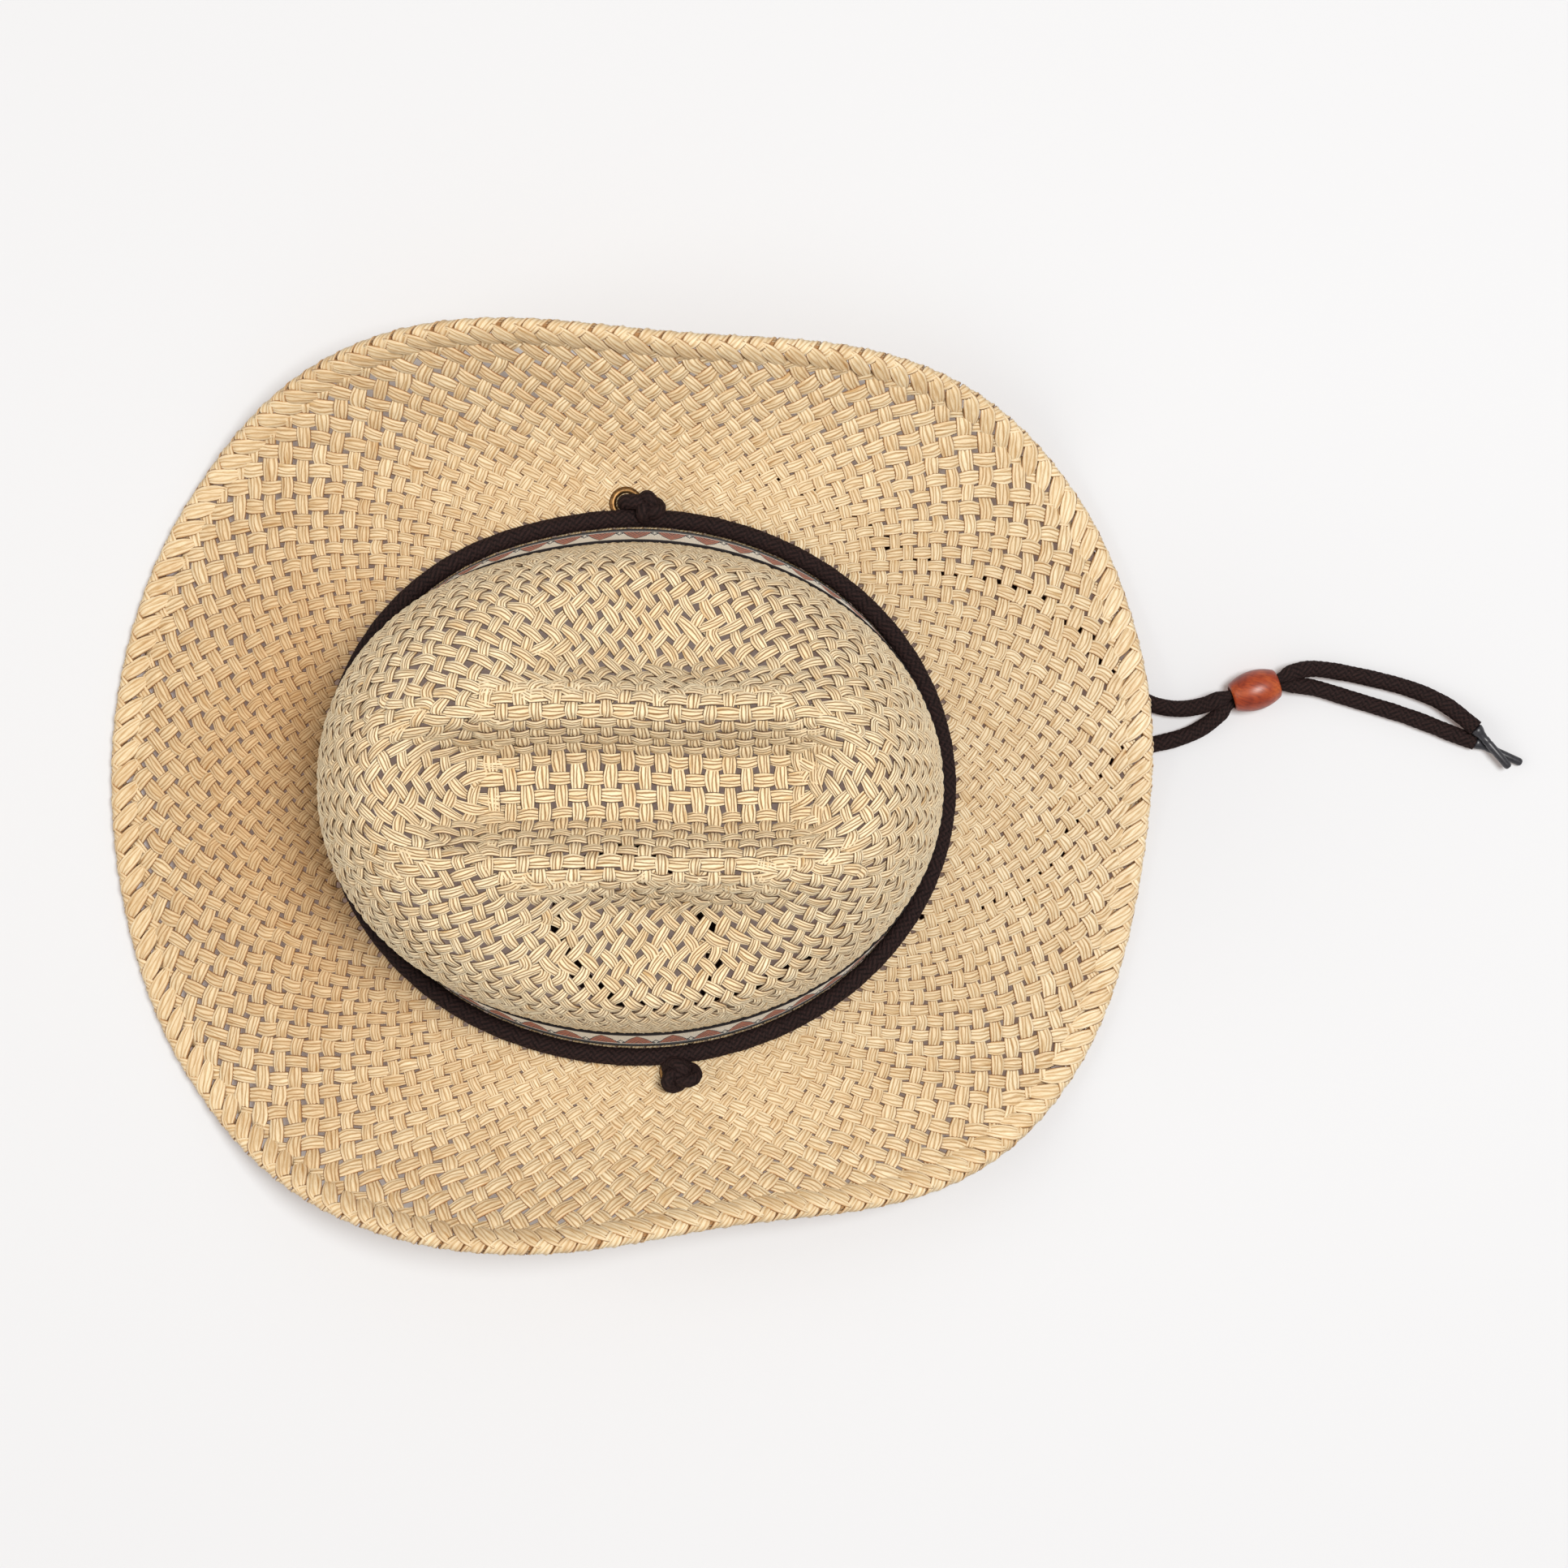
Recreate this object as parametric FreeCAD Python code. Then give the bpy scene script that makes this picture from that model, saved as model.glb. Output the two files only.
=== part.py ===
"""Woven straw western hat with a creased crown, a patterned ribbon, a band cord and a chin cord.

Millimetres. +Z is up. The wearer looks along -Y and the wearer's left is +X. The origin is on the
surface that the hat stands on, under the middle of the brim.
"""
import FreeCAD, Part
import math
import os

from FreeCAD import Vector

# ---- driving dimensions -------------------------------------------------------------------------
STRAW = 2.0                      # thickness of the weave
BRIM_TOP = 28.0                  # height of the brim's upper face beside the crown
# Plan radius of the outer rim every 22.5 degrees, from the front round by the wearer's left.
RIM_RADII = (182.0, 186.0, 183.0, 162.0, 152.9, 167.5, 182.5, 184.0,
             182.3, 184.0, 182.5, 166.0, 151.9, 156.5, 180.5, 183.5)
BRAID_RADIUS = 2.7               # the rolled braid along the rim
BRAID_GAP = 0.05
WIRE_WIDTH = 2.6                 # flat spring wire inside the braid
WIRE_THICKNESS = 0.8
SIDE_ROLL_START = 103.0          # distance from the middle line where the brim's sides begin to rise
SIDE_ROLL_SPAN = 52.0
SIDE_ROLL_RISE = 36.0
SIDE_ROLL_POWER = 1.7
FRONT_DROP = 24.5                # how far the rim hangs below the brim's root, front and back
BACK_DROP = 24.2
CORD_GATE_RISE = 8.4             # the rim lifts at the front where the chin cord runs out under it
CORD_GATE_X = 22.0
CORD_GATE_WIDTH = 31.0

CROWN_CENTRE_Y = -3.9
BASE_HALF_WIDTH = 87.6           # crown at its base, outside
BASE_HALF_LENGTH = 101.2
BACK_SQUARENESS = 0.10           # the head outline is fuller than an ellipse at the back,
BACK_SKEW = 0.020                # and leans to the wearer's left there, in shares of its half width
FILLET = 4.0                     # where the crown turns out into the brim
CROWN_HEIGHT = 98.0              # above the fillet
UPPER_HALF_WIDTH = 79.5
WALL_FLARE_HEIGHT = 18.0
FRONT_BULGE = 4.5                # how far the ends swell out beyond the base
BACK_BULGE = 6.8
END_BULGE_HEIGHT = 60.0
SPINE_HALF_WIDTH = 6.0           # flat floor of the centre crease
SPINE_HALF_LENGTH = 46.0
SIDE_SQUARENESS = 4.0
END_SQUARENESS = 2.5
CREASE_DEPTH = 24.0
CREASE_FLOOR_HALF = 5.0
CREASE_RIDGE_HALF = 25.0
CREASE_END_START = 40.0          # where the centre crease begins to run out, front and back
CREASE_END_STOP = 90.0
CREASE_RISE_LOW = 0.35           # shares of the crown's height between which the creases form
CREASE_RISE_HIGH = 0.85
DENT_DEPTH = 23.0
DENT_CENTRE_Y = -19.0
DENT_HALF_LENGTH = 44.0
DENT_INNER = 43.0                # distances from the middle line where a dent is deepest, then fades
DENT_FADE_START = 46.0
DENT_FADE_STOP = 80.0
DENT_FADE = 0.92

BAND_FOOT = 0.008                # where the ribbon and the sweatband begin, as a share of the crown
RIBBON_WIDTH = 20.0
RIBBON_THICKNESS = 0.8
SWEATBAND_WIDTH = 28.0
SWEATBAND_THICKNESS = 1.2
CLEARANCE = 0.15

CORD_DIAMETER = 5.7
CORD_RADIUS = CORD_DIAMETER / 2
BAND_CORD_RADIUS = 2.9
BAND_CORD_HALF_WIDTH = 92.2
BAND_CORD_HALF_LENGTH = 105.6
NECK_RADIUS = 1.65                # the cord squeezed inside the bead

EYELET_LEFT = (97.3, 0.6)
EYELET_RIGHT = (-97.3, -16.5)
EYELET_BORE_RADIUS = 3.4
EYELET_TUBE_RADIUS = 3.8
EYELET_FLANGE_RADIUS = 5.6
EYELET_FLANGE = 0.6
EYELET_SEAT = 0.15               # gap between the flange and the straw
EYELET_CURL = 0.8                # the rolled lower edge, proud of the tube
EYELET_FOOT = 1.6                # how far the tube reaches below the straw
WASHER_THICKNESS = 0.5
WASHER_GAP = 0.2
BAND_CORD_SEAT = 0.4             # gap between the band cord and the eyelet flanges
EYELET_HOLE_RADIUS = 3.95

BEAD_CENTRE = Vector(33.9, -217.8, 6.9)
BEAD_DIRECTION = Vector(0.309, -0.951, 0).normalize()
BEAD_LENGTH = 17.0
BEAD_RADIUS = 6.85
BEAD_END_RADIUS = 4.5
BEAD_BORE_RADIUS = 3.75
STRAND_OFFSET = 1.25             # each cord's distance from the bead's axis, across and up
BEAD_LEAD = 0.8                  # straight cord beyond each face of the bead

AGLET_RADIUS = 1.45
AGLET_MOUTH_RADIUS = 2.28        # where it grips the cord
AGLET_CONE = 3.0
AROUND = 96                      # control points round the hat
KNOT_LEFT = Vector(96.2, -2.8, BRIM_TOP + 5.9)
KNOT_LEFT_SIZE = (10.0, 14.5, 10.2)
KNOT_RIGHT = Vector(-96.4, -18.8, BRIM_TOP + 5.9)
KNOT_RIGHT_SIZE = (10.2, 15.6, 10.2)
KNOT_RIGHT_TURN = 6


# ---- the hat's surface --------------------------------------------------------------------------
def smooth_step(low, high, value):
    t = min(1.0, max(0.0, (value - low) / (high - low)))
    return t * t * t * (t * (6 * t - 15) + 10)


def rim_radius(angle):
    """Trigonometric curve through RIM_RADII."""
    count = len(RIM_RADII)
    total = 0.0
    for k, radius in enumerate(RIM_RADII):
        d = angle - 2 * math.pi * k / count
        weight = 1.0 + math.cos(count / 2 * d)
        for n in range(1, count // 2):
            weight += 2 * math.cos(n * d)
        total += radius * weight / count
    return total


def side_roll(x):
    over = max(0.0, abs(x) - SIDE_ROLL_START) / SIDE_ROLL_SPAN
    return SIDE_ROLL_RISE * over ** SIDE_ROLL_POWER


def outline(angle):
    """Shares of the half width and the half length: an ellipse in front, fuller and askew behind."""
    sine = math.sin(angle)
    cosine = math.cos(angle)
    back = max(0.0, -cosine)
    power = 2 + BACK_SQUARENESS * smooth_step(0.0, 0.7, back)
    size = (abs(sine) ** power + abs(cosine) ** power) ** (-1 / power)
    return sine * size + BACK_SKEW * smooth_step(0.0, 1.0, back), cosine * size


def brim_point(angle, t):
    """Upper face of the brim. t is 0 at the foot of the fillet and 1 at the braid's middle."""
    sine = math.sin(angle)
    cosine = math.cos(angle)
    across, ahead = outline(angle)
    root_x = (BASE_HALF_WIDTH + FILLET) * across
    root_y = CROWN_CENTRE_Y - (BASE_HALF_LENGTH + FILLET) * ahead
    reach = rim_radius(angle) - BRAID_RADIUS
    x = root_x + (reach * sine - root_x) * t
    y = root_y + (-reach * cosine - root_y) * t
    drop = FRONT_DROP if cosine > 0 else BACK_DROP
    z = BRIM_TOP - drop * (1 - sine ** 4) * t ** 1.15 + side_roll(x)
    if cosine > 0:
        z += CORD_GATE_RISE * math.exp(-((x - CORD_GATE_X) / CORD_GATE_WIDTH) ** 2) * t * t
    return Vector(x, y, z)


def dome_point(angle, q):
    """The crown before it is creased. q is 0 at the base and 1 at the spine."""
    sine = math.sin(angle)
    cosine = math.cos(angle)
    power = SIDE_SQUARENESS * sine ** 2 + END_SQUARENESS * cosine ** 2
    rise = math.sin(q * math.pi / 2)
    spread = max(0.0, math.cos(q * math.pi / 2))
    size = (rise ** power + spread ** power) ** (-1 / power)
    rise *= size
    spread *= size
    height = CROWN_HEIGHT * rise
    flare = math.exp(-height / WALL_FLARE_HEIGHT)
    half_width = UPPER_HALF_WIDTH + (BASE_HALF_WIDTH - UPPER_HALF_WIDTH) * flare
    bulge = FRONT_BULGE if cosine > 0 else BACK_BULGE
    half_length = BASE_HALF_LENGTH + bulge * min(1.0, height / END_BULGE_HEIGHT)
    across, ahead = outline(angle)
    x = across * (SPINE_HALF_WIDTH + (half_width - SPINE_HALF_WIDTH) * spread)
    y = CROWN_CENTRE_Y - ahead * (SPINE_HALF_LENGTH + (half_length - SPINE_HALF_LENGTH) * spread)
    return Vector(x, y, BRIM_TOP + FILLET + height)


def crease_depth(x, y, rise):
    """How far the creases push the dome down: one along the middle and one in each side."""
    along = y - CROWN_CENTRE_Y
    middle = 1 - smooth_step(CREASE_FLOOR_HALF, CREASE_RIDGE_HALF, abs(x))
    middle *= 1 - smooth_step(CREASE_END_START, CREASE_END_STOP, abs(along))
    dent = smooth_step(CREASE_RIDGE_HALF, DENT_INNER, abs(x))
    dent *= 1 - DENT_FADE * smooth_step(DENT_FADE_START, DENT_FADE_STOP, abs(x))
    dent *= math.exp(-((y - DENT_CENTRE_Y) / DENT_HALF_LENGTH) ** 2)
    return (CREASE_DEPTH * middle + DENT_DEPTH * dent) * smooth_step(CREASE_RISE_LOW, CREASE_RISE_HIGH, rise)


def crown_point(angle, q):
    p = dome_point(angle, q)
    rise = (p.z - BRIM_TOP - FILLET) / CROWN_HEIGHT
    p.z -= crease_depth(p.x, p.y, rise)
    return p


def offset_point(surface, angle, t, distance, t_low=0.0, t_high=1.0):
    """A point that far off a surface: outward from the crown, or up from the brim."""
    step = 1e-3
    low = max(t_low, t - step)
    high = min(t_high, t + step)
    along = surface(angle, high).sub(surface(angle, low))
    across = surface(angle + step, t).sub(surface(angle - step, t))
    normal = across.cross(along)
    if surface is not crown_point:
        normal = along.cross(across)
    normal.normalize()
    return surface(angle, t).add(normal.multiply(distance))


def fillet_point(angle, t):
    """Upper face from the crown's base, t 0, round the fillet to the brim, t 1."""
    bend = t * math.pi / 2
    out = FILLET * (1 - math.cos(bend))
    down = FILLET * (1 - math.sin(bend))
    across, ahead = outline(angle)
    return Vector((BASE_HALF_WIDTH + out) * across,
                  CROWN_CENTRE_Y - (BASE_HALF_LENGTH + out) * ahead, BRIM_TOP + down)


# ---- solids from rings of points ----------------------------------------------------------------
def ring(surface, t, distance, t_low=0.0, t_high=1.0):
    points = []
    for k in range(AROUND):
        points.append(offset_point(surface, 2 * math.pi * k / AROUND, t, distance, t_low, t_high))
    return points


def skin(rings, degree):
    """One smooth face over rings of control points, closed round the hat."""
    count = len(rings)
    inner = count - degree - 1
    face = Part.BSplineSurface()
    v_mults = [degree + 1] + [1] * inner + [degree + 1]
    v_knots = [float(i) for i in range(inner + 2)]
    u_knots = [float(i) for i in range(AROUND + 1)]
    poles = [[rings[v][u] for v in range(count)] for u in range(AROUND)]
    face.buildFromPolesMultsKnots(poles, [1] * (AROUND + 1), v_mults, u_knots, v_knots,
                                  True, False, 3, degree)
    return face.toShape()


def solid_from(faces):
    shell = Part.makeShell(faces)
    shell.sewShape()
    shell = shell.Shells[0]
    solid = Part.Solid(shell)
    if solid.Volume < 0:
        solid.reverse()
    return solid


def closed_sheet(outer, inner):
    """A band of sheet: outer and inner rings in the same order, joined along both edges."""
    faces = [skin(outer, 3), skin(inner, 3)]
    faces.append(skin([outer[0], inner[0]], 1))
    faces.append(skin([outer[-1], inner[-1]], 1))
    return solid_from(faces)


def section_axes(centres, k):
    """Directions across and up from a closed line of centres, at one of them."""
    ahead = centres[(k + 1) % len(centres)].sub(centres[k - 1])
    side = ahead.cross(Vector(0, 0, 1))
    side.normalize()
    up = side.cross(ahead)
    up.normalize()
    return side, up


def ring_strip(centres, width, thickness):
    """A closed flat strip round the hat."""
    rings = []
    for across, rise in ((-1, -1), (1, -1), (1, 1), (-1, 1)):
        points = []
        for k, centre in enumerate(centres):
            side, up = section_axes(centres, k)
            points.append(centre.add(side.multiply(across * width / 2)).add(
                up.multiply(rise * thickness / 2)))
        rings.append(points)
    return solid_from([skin([rings[j - 1], rings[j]], 1) for j in range(4)])


def ring_tube(centres, radius):
    """A closed tube round the hat, as an upper and a lower half."""
    halves = []
    count = 7
    # A cubic through control points on a circle falls inside it, so they stand a little outside.
    swell = radius * 1.02
    for start in (0.0, math.pi):
        rings = []
        for j in range(count):
            turn = start + math.pi * j / (count - 1)
            points = []
            for k, centre in enumerate(centres):
                side, up = section_axes(centres, k)
                reach = swell if 0 < j < count - 1 else radius
                points.append(centre.add(side.multiply(reach * math.cos(turn))).add(
                    up.multiply(reach * math.sin(turn))))
            rings.append(points)
        halves.append(skin(rings, 3))
    return solid_from(halves)


# ---- the pieces ---------------------------------------------------------------------------------
def make_crown():
    steps = 26
    levels = [i / steps for i in range(steps + 1)]
    outer = [ring(crown_point, q, 0.0) for q in levels]
    inner = [ring(crown_point, q, -STRAW) for q in levels]
    floor_height = BRIM_TOP + FILLET + CROWN_HEIGHT - CREASE_DEPTH
    for k in range(AROUND):
        outer[-1][k].z = floor_height
        inner[-1][k] = Vector(outer[-1][k].x, outer[-1][k].y, floor_height - STRAW)
    for k in range(AROUND):
        inner[0][k].z = BRIM_TOP + FILLET
    faces = [skin(outer, 3), skin(inner, 3), skin([outer[0], inner[0]], 1)]
    for rings in (outer, inner):
        edge = skin([rings[-1], rings[-2]], 1).Edges
        lid = [e for e in edge if e.isClosed() and abs(e.BoundBox.ZMax - e.BoundBox.ZMin) < 1e-6]
        faces.append(Part.Face(Part.Wire([lid[0]])))
    return solid_from(faces)


def make_brim():
    bends = [0.0, 0.3, 0.6, 0.85]
    levels = [0.02, 0.1, 0.2, 0.3, 0.4, 0.5, 0.6, 0.7, 0.8, 0.9]
    outer = [ring(fillet_point, t, 0.0) for t in bends]
    inner = [ring(fillet_point, t, -STRAW) for t in bends]
    inner[0] = ring(crown_point, 0.0, -STRAW)
    for k in range(AROUND):
        inner[0][k].z = BRIM_TOP + FILLET
    outer += [ring(brim_point, t, 0.0) for t in levels]
    inner += [ring(brim_point, t, -STRAW) for t in levels]
    last_outer = []
    last_inner = []
    for k in range(AROUND):
        angle = 2 * math.pi * k / AROUND
        near = brim_point(angle, 0.9)
        far = brim_point(angle, 1.0)
        end = 1.0 - 0.1 * (BRAID_RADIUS + BRAID_GAP) / far.sub(near).Length
        last_outer.append(offset_point(brim_point, angle, end, 0.0))
        last_inner.append(offset_point(brim_point, angle, end, -STRAW))
    outer.append(last_outer)
    inner.append(last_inner)
    brim = closed_sheet(outer, inner)
    for x, y in (EYELET_LEFT, EYELET_RIGHT):
        hole_foot = Vector(x, y, BRIM_TOP - 3 * STRAW)
        brim = brim.cut(Part.makeCylinder(EYELET_HOLE_RADIUS, 5 * STRAW, hole_foot))
    return brim.Solids[0]


def rim_centres():
    return ring(brim_point, 1.0, -STRAW / 2)


def make_wall_band(q_low, height, gap, thickness):
    """A band that follows the crown's wall: ribbon outside it or sweatband inside it."""
    q_high = q_low
    while crown_point(math.pi / 2, q_high).z - crown_point(math.pi / 2, q_low).z < height:
        q_high += 0.002
    steps = 7
    levels = [q_low + (q_high - q_low) * i / (steps - 1) for i in range(steps)]
    outer = [ring(crown_point, q, gap + thickness) for q in levels]
    inner = [ring(crown_point, q, gap) for q in levels]
    return closed_sheet(outer, inner)


def make_band_cord():
    centres = []
    for k in range(AROUND):
        across, ahead = outline(2 * math.pi * k / AROUND)
        x = BAND_CORD_HALF_WIDTH * across
        y = CROWN_CENTRE_Y - BAND_CORD_HALF_LENGTH * ahead
        centres.append(Vector(x, y, BRIM_TOP + BAND_CORD_RADIUS + EYELET_FLANGE + BAND_CORD_SEAT))
    return ring_tube(centres, BAND_CORD_RADIUS)


def make_eyelet(place):
    x, y = place
    top = Vector(x, y, BRIM_TOP + EYELET_SEAT)
    foot = Vector(x, y, BRIM_TOP - STRAW - EYELET_FOOT)
    tube_length = top.z + EYELET_FLANGE / 2 - foot.z
    body = Part.makeCylinder(EYELET_FLANGE_RADIUS, EYELET_FLANGE, top)
    body = body.fuse(Part.makeCylinder(EYELET_TUBE_RADIUS, tube_length, foot))
    body = body.fuse(Part.makeCylinder(EYELET_TUBE_RADIUS + EYELET_CURL, EYELET_FLANGE, foot))
    bore_foot = foot.sub(Vector(0, 0, tube_length))
    body = body.cut(Part.makeCylinder(EYELET_BORE_RADIUS, 3 * tube_length, bore_foot))
    return body.removeSplitter().Solids[0]


def make_eyelet_washer(place):
    x, y = place
    base = Vector(x, y, BRIM_TOP - STRAW - WASHER_GAP - WASHER_THICKNESS)
    disc = Part.makeCylinder(EYELET_FLANGE_RADIUS, WASHER_THICKNESS, base)
    hole_foot = base.sub(Vector(0, 0, WASHER_THICKNESS))
    hole = Part.makeCylinder(EYELET_HOLE_RADIUS, 3 * WASHER_THICKNESS, hole_foot)
    return disc.cut(hole).Solids[0]


def make_knot(centre, size, turn):
    """A knot in the cord, as a rounded lump."""
    ball = Part.makeSphere(1.0)
    matrix = FreeCAD.Matrix()
    matrix.scale(size[0] / 2, size[1] / 2, size[2] / 2)
    lump = ball.transformGeometry(matrix)
    lump.rotate(Vector(0, 0, 0), Vector(0, 0, 1), turn)
    lump.translate(centre)
    return lump.Solids[0]


# ---- free cords ---------------------------------------------------------------------------------
# The route of each chin cord: from its knot down through its eyelet, along the surface that the hat
# stands on, out under the front of the rim, and into the bead.
LEFT_ROUTE = (
    (97.3, 0.6, 30.0), (97.3, 0.5, 23.6), (97.9, -1.6, 16.2), (99.6, -6.2, 9.2), (102.4, -13.4, 4.6),
    (106.5, -23.7, 2.95), (110.8, -34.8, 3.0), (110.2, -47.0, 2.95), (104.6, -59.8, 3.0),
    (97.3, -72.3, 2.95), (89.3, -84.2, 3.0), (81.2, -97.0, 2.95), (76.2, -110.3, 3.0),
    (72.0, -123.6, 2.95), (67.2, -137.2, 3.0), (62.0, -149.6, 2.95), (53.6, -159.0, 3.0),
    (42.6, -165.6, 2.95), (34.4, -172.6, 3.0), (29.2, -181.2, 2.95), (27.2, -190.2, 3.6),
    (28.0, -198.6, 5.4), (30.8, -205.2, 7.7))
RIGHT_ROUTE = (
    (-97.3, -16.5, 30.0), (-97.3, -16.6, 23.8), (-95.4, -17.9, 17.2), (-91.0, -20.2, 12.2),
    (-82.8, -23.4, 9.9), (-71.4, -27.4, 9.9), (-60.4, -29.6, 6.4), (-48.8, -27.8, 3.4),
    (-37.0, -21.8, 2.95), (-26.0, -11.0, 3.0), (-20.6, 2.6, 2.95), (-26.4, 17.2, 3.0),
    (-40.6, 25.6, 2.95), (-55.8, 25.0, 3.0), (-68.6, 16.4, 2.95), (-75.8, 3.2, 3.0),
    (-77.6, -11.4, 2.95), (-76.4, -26.6, 3.0), (-71.6, -41.2, 2.95), (-64.8, -55.4, 3.0),
    (-57.6, -69.2, 2.95), (-51.0, -83.4, 3.0), (-46.2, -98.0, 2.95), (-44.6, -113.0, 3.0),
    (-42.4, -127.6, 2.95), (-35.8, -140.4, 3.0), (-24.4, -149.6, 2.95), (-10.6, -155.8, 3.0),
    (2.4, -161.4, 2.95), (11.0, -169.6, 3.0), (14.6, -180.2, 2.95), (16.6, -190.2, 3.0),
    (19.8, -198.4, 3.4), (24.6, -205.0, 4.7))
LEFT_TAIL = (
    (40.4, -231.0, 7.3), (41.8, -238.0, 5.4), (40.6, -247.4, 3.5), (38.2, -259.2, 2.95),
    (35.0, -271.8, 3.0), (30.8, -282.2, 3.5), (26.0, -289.2, 4.8), (20.6, -295.0, 6.5))
RIGHT_TAIL = (
    (35.8, -232.2, 4.9), (35.0, -239.2, 3.7), (32.0, -248.8, 2.95), (28.6, -260.0, 3.0),
    (25.2, -271.2, 2.95), (21.4, -281.2, 3.0), (18.2, -288.8, 2.95), (16.0, -295.4, 3.0))
AGLET_LEFT_TIP = Vector(7.0, -306.9, 5.4)
AGLET_RIGHT_TIP = Vector(8.6, -312.1, 1.5)


def bead_line(along, side):
    """A point on one strand's straight stretch through the bead; side is 1 left, -1 right."""
    across = Vector(-BEAD_DIRECTION.y, BEAD_DIRECTION.x, 0)
    offset = across.multiply(STRAND_OFFSET * side).add(Vector(0, 0, STRAND_OFFSET * side))
    return BEAD_CENTRE.add(Vector(BEAD_DIRECTION).multiply(along)).add(offset)


def rounded_path(points, thin_from, thin_to):
    """Edges of the route, as straight runs joined by the largest tangent arcs that they leave room
    for, in three groups: up to the middle of run thin_from, on to the middle of run thin_to, and
    the rest."""
    groups = [[]]
    radii = []
    start = points[0]
    for i in range(1, len(points)):
        finish = points[i]
        corner = []
        if i < len(points) - 1:
            before = points[i - 1].sub(points[i])
            after = points[i + 1].sub(points[i])
            turn = math.pi - before.getAngle(after)
            reach = 0.45 * min(before.Length, after.Length)
            radius = reach / math.tan(turn / 2)
            radii.append(radius)
            before.normalize()
            after.normalize()
            finish = points[i].add(Vector(before).multiply(reach))
            last = points[i].add(Vector(after).multiply(reach))
            inward = before.add(after)
            inward.normalize()
            middle = points[i].add(inward.multiply(radius / math.cos(turn / 2) - radius))
            corner = [Part.Arc(finish, middle, last).toShape()]
        if i - 1 in (thin_from, thin_to):
            change = start.add(finish).multiply(0.5)
            groups[-1].append(Part.LineSegment(start, change).toShape())
            groups.append([])
            start = change
        groups[-1].append(Part.LineSegment(start, finish).toShape())
        groups[-1] += corner
        start = last if corner else finish
    return groups, radii


def make_cord(name, route, tail, side):
    """The cord in three stretches: to the bead, squeezed through it, and on to its tip."""
    half = BEAD_LENGTH / 2 + BEAD_LEAD
    points = [Vector(*p) for p in route] + [bead_line(-half, side), bead_line(half, side)]
    points += [Vector(*p) for p in tail]
    groups, radii = rounded_path(points, len(route) - 2, len(route) + 2)
    stretches = []
    length = 0.0
    expected = 0.0
    for edges, radius in zip(groups, (CORD_RADIUS, NECK_RADIUS, CORD_RADIUS)):
        path = Part.Wire(edges)
        start = edges[0].valueAt(edges[0].FirstParameter)
        heading = edges[0].tangentAt(edges[0].FirstParameter)
        circle = Part.Wire(Part.makeCircle(radius, start, heading))
        stretches.append(path.makePipeShell([circle], True, False))
        length += path.Length
        expected += math.pi * radius ** 2 * path.Length
    cord = stretches[0].fuse(stretches[1:]).Solids[0]
    print(name, "length", round(length, 1), "tightest radii", [round(r, 1) for r in sorted(radii)[:6]],
          "volume ratio", round(cord.Volume / expected, 4), "solids", len(cord.Solids))
    return cord


def make_bead():
    across = Vector(-BEAD_DIRECTION.y, BEAD_DIRECTION.x, 0)
    half = Vector(BEAD_DIRECTION).multiply(BEAD_LENGTH / 2)

    def at(end, radius):
        return BEAD_CENTRE.add(Vector(half).multiply(end)).add(Vector(across).multiply(radius))

    side = Part.Arc(at(-1, BEAD_END_RADIUS), at(0, BEAD_RADIUS), at(1, BEAD_END_RADIUS)).toShape()
    outline = Part.Wire([side, Part.LineSegment(at(1, BEAD_END_RADIUS), at(1, BEAD_BORE_RADIUS)).toShape(),
                         Part.LineSegment(at(1, BEAD_BORE_RADIUS), at(-1, BEAD_BORE_RADIUS)).toShape(),
                         Part.LineSegment(at(-1, BEAD_BORE_RADIUS), at(-1, BEAD_END_RADIUS)).toShape()])
    return Part.Face(outline).revolve(BEAD_CENTRE, BEAD_DIRECTION, 360)


def make_aglet(start, tip):
    """The hard tip crimped on a cord's end: a short cone on the cord, then a thin tube."""
    heading = tip.sub(start)
    length = heading.Length
    cone = Part.makeCone(AGLET_MOUTH_RADIUS, AGLET_RADIUS, AGLET_CONE, start, heading)
    foot = start.add(Vector(heading).multiply(AGLET_CONE / length))
    return cone.fuse(Part.makeCylinder(AGLET_RADIUS, length - AGLET_CONE, foot, heading)).Solids[0]


def build():
    pieces = {
        "straw_crown": make_crown(),
        "straw_brim": make_brim(),
        "brim_edge_braid": ring_tube(rim_centres(), BRAID_RADIUS),
        "brim_edge_wire": ring_strip(rim_centres(), WIRE_WIDTH, WIRE_THICKNESS),
        "hatband_ribbon": make_wall_band(BAND_FOOT, RIBBON_WIDTH, CLEARANCE, RIBBON_THICKNESS),
        "sweatband": make_wall_band(BAND_FOOT, SWEATBAND_WIDTH, -STRAW - CLEARANCE - SWEATBAND_THICKNESS,
                                    SWEATBAND_THICKNESS),
        "band_cord": make_band_cord(),
        "cord_knot_left": make_knot(KNOT_LEFT, KNOT_LEFT_SIZE, 0),
        "cord_knot_right": make_knot(KNOT_RIGHT, KNOT_RIGHT_SIZE, KNOT_RIGHT_TURN),
        "slider_bead": make_bead(),
    }
    for side, place in (("left", EYELET_LEFT), ("right", EYELET_RIGHT)):
        pieces["eyelet_" + side] = make_eyelet(place)
        pieces["eyelet_washer_" + side] = make_eyelet_washer(place)
    pieces["chin_cord_left"] = make_cord("chin_cord_left", LEFT_ROUTE, LEFT_TAIL, 1)
    pieces["chin_cord_right"] = make_cord("chin_cord_right", RIGHT_ROUTE, RIGHT_TAIL, -1)
    pieces["aglet_left"] = make_aglet(Vector(*LEFT_TAIL[-1]), AGLET_LEFT_TIP)
    pieces["aglet_right"] = make_aglet(Vector(*RIGHT_TAIL[-1]), AGLET_RIGHT_TIP)
    return pieces


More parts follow.
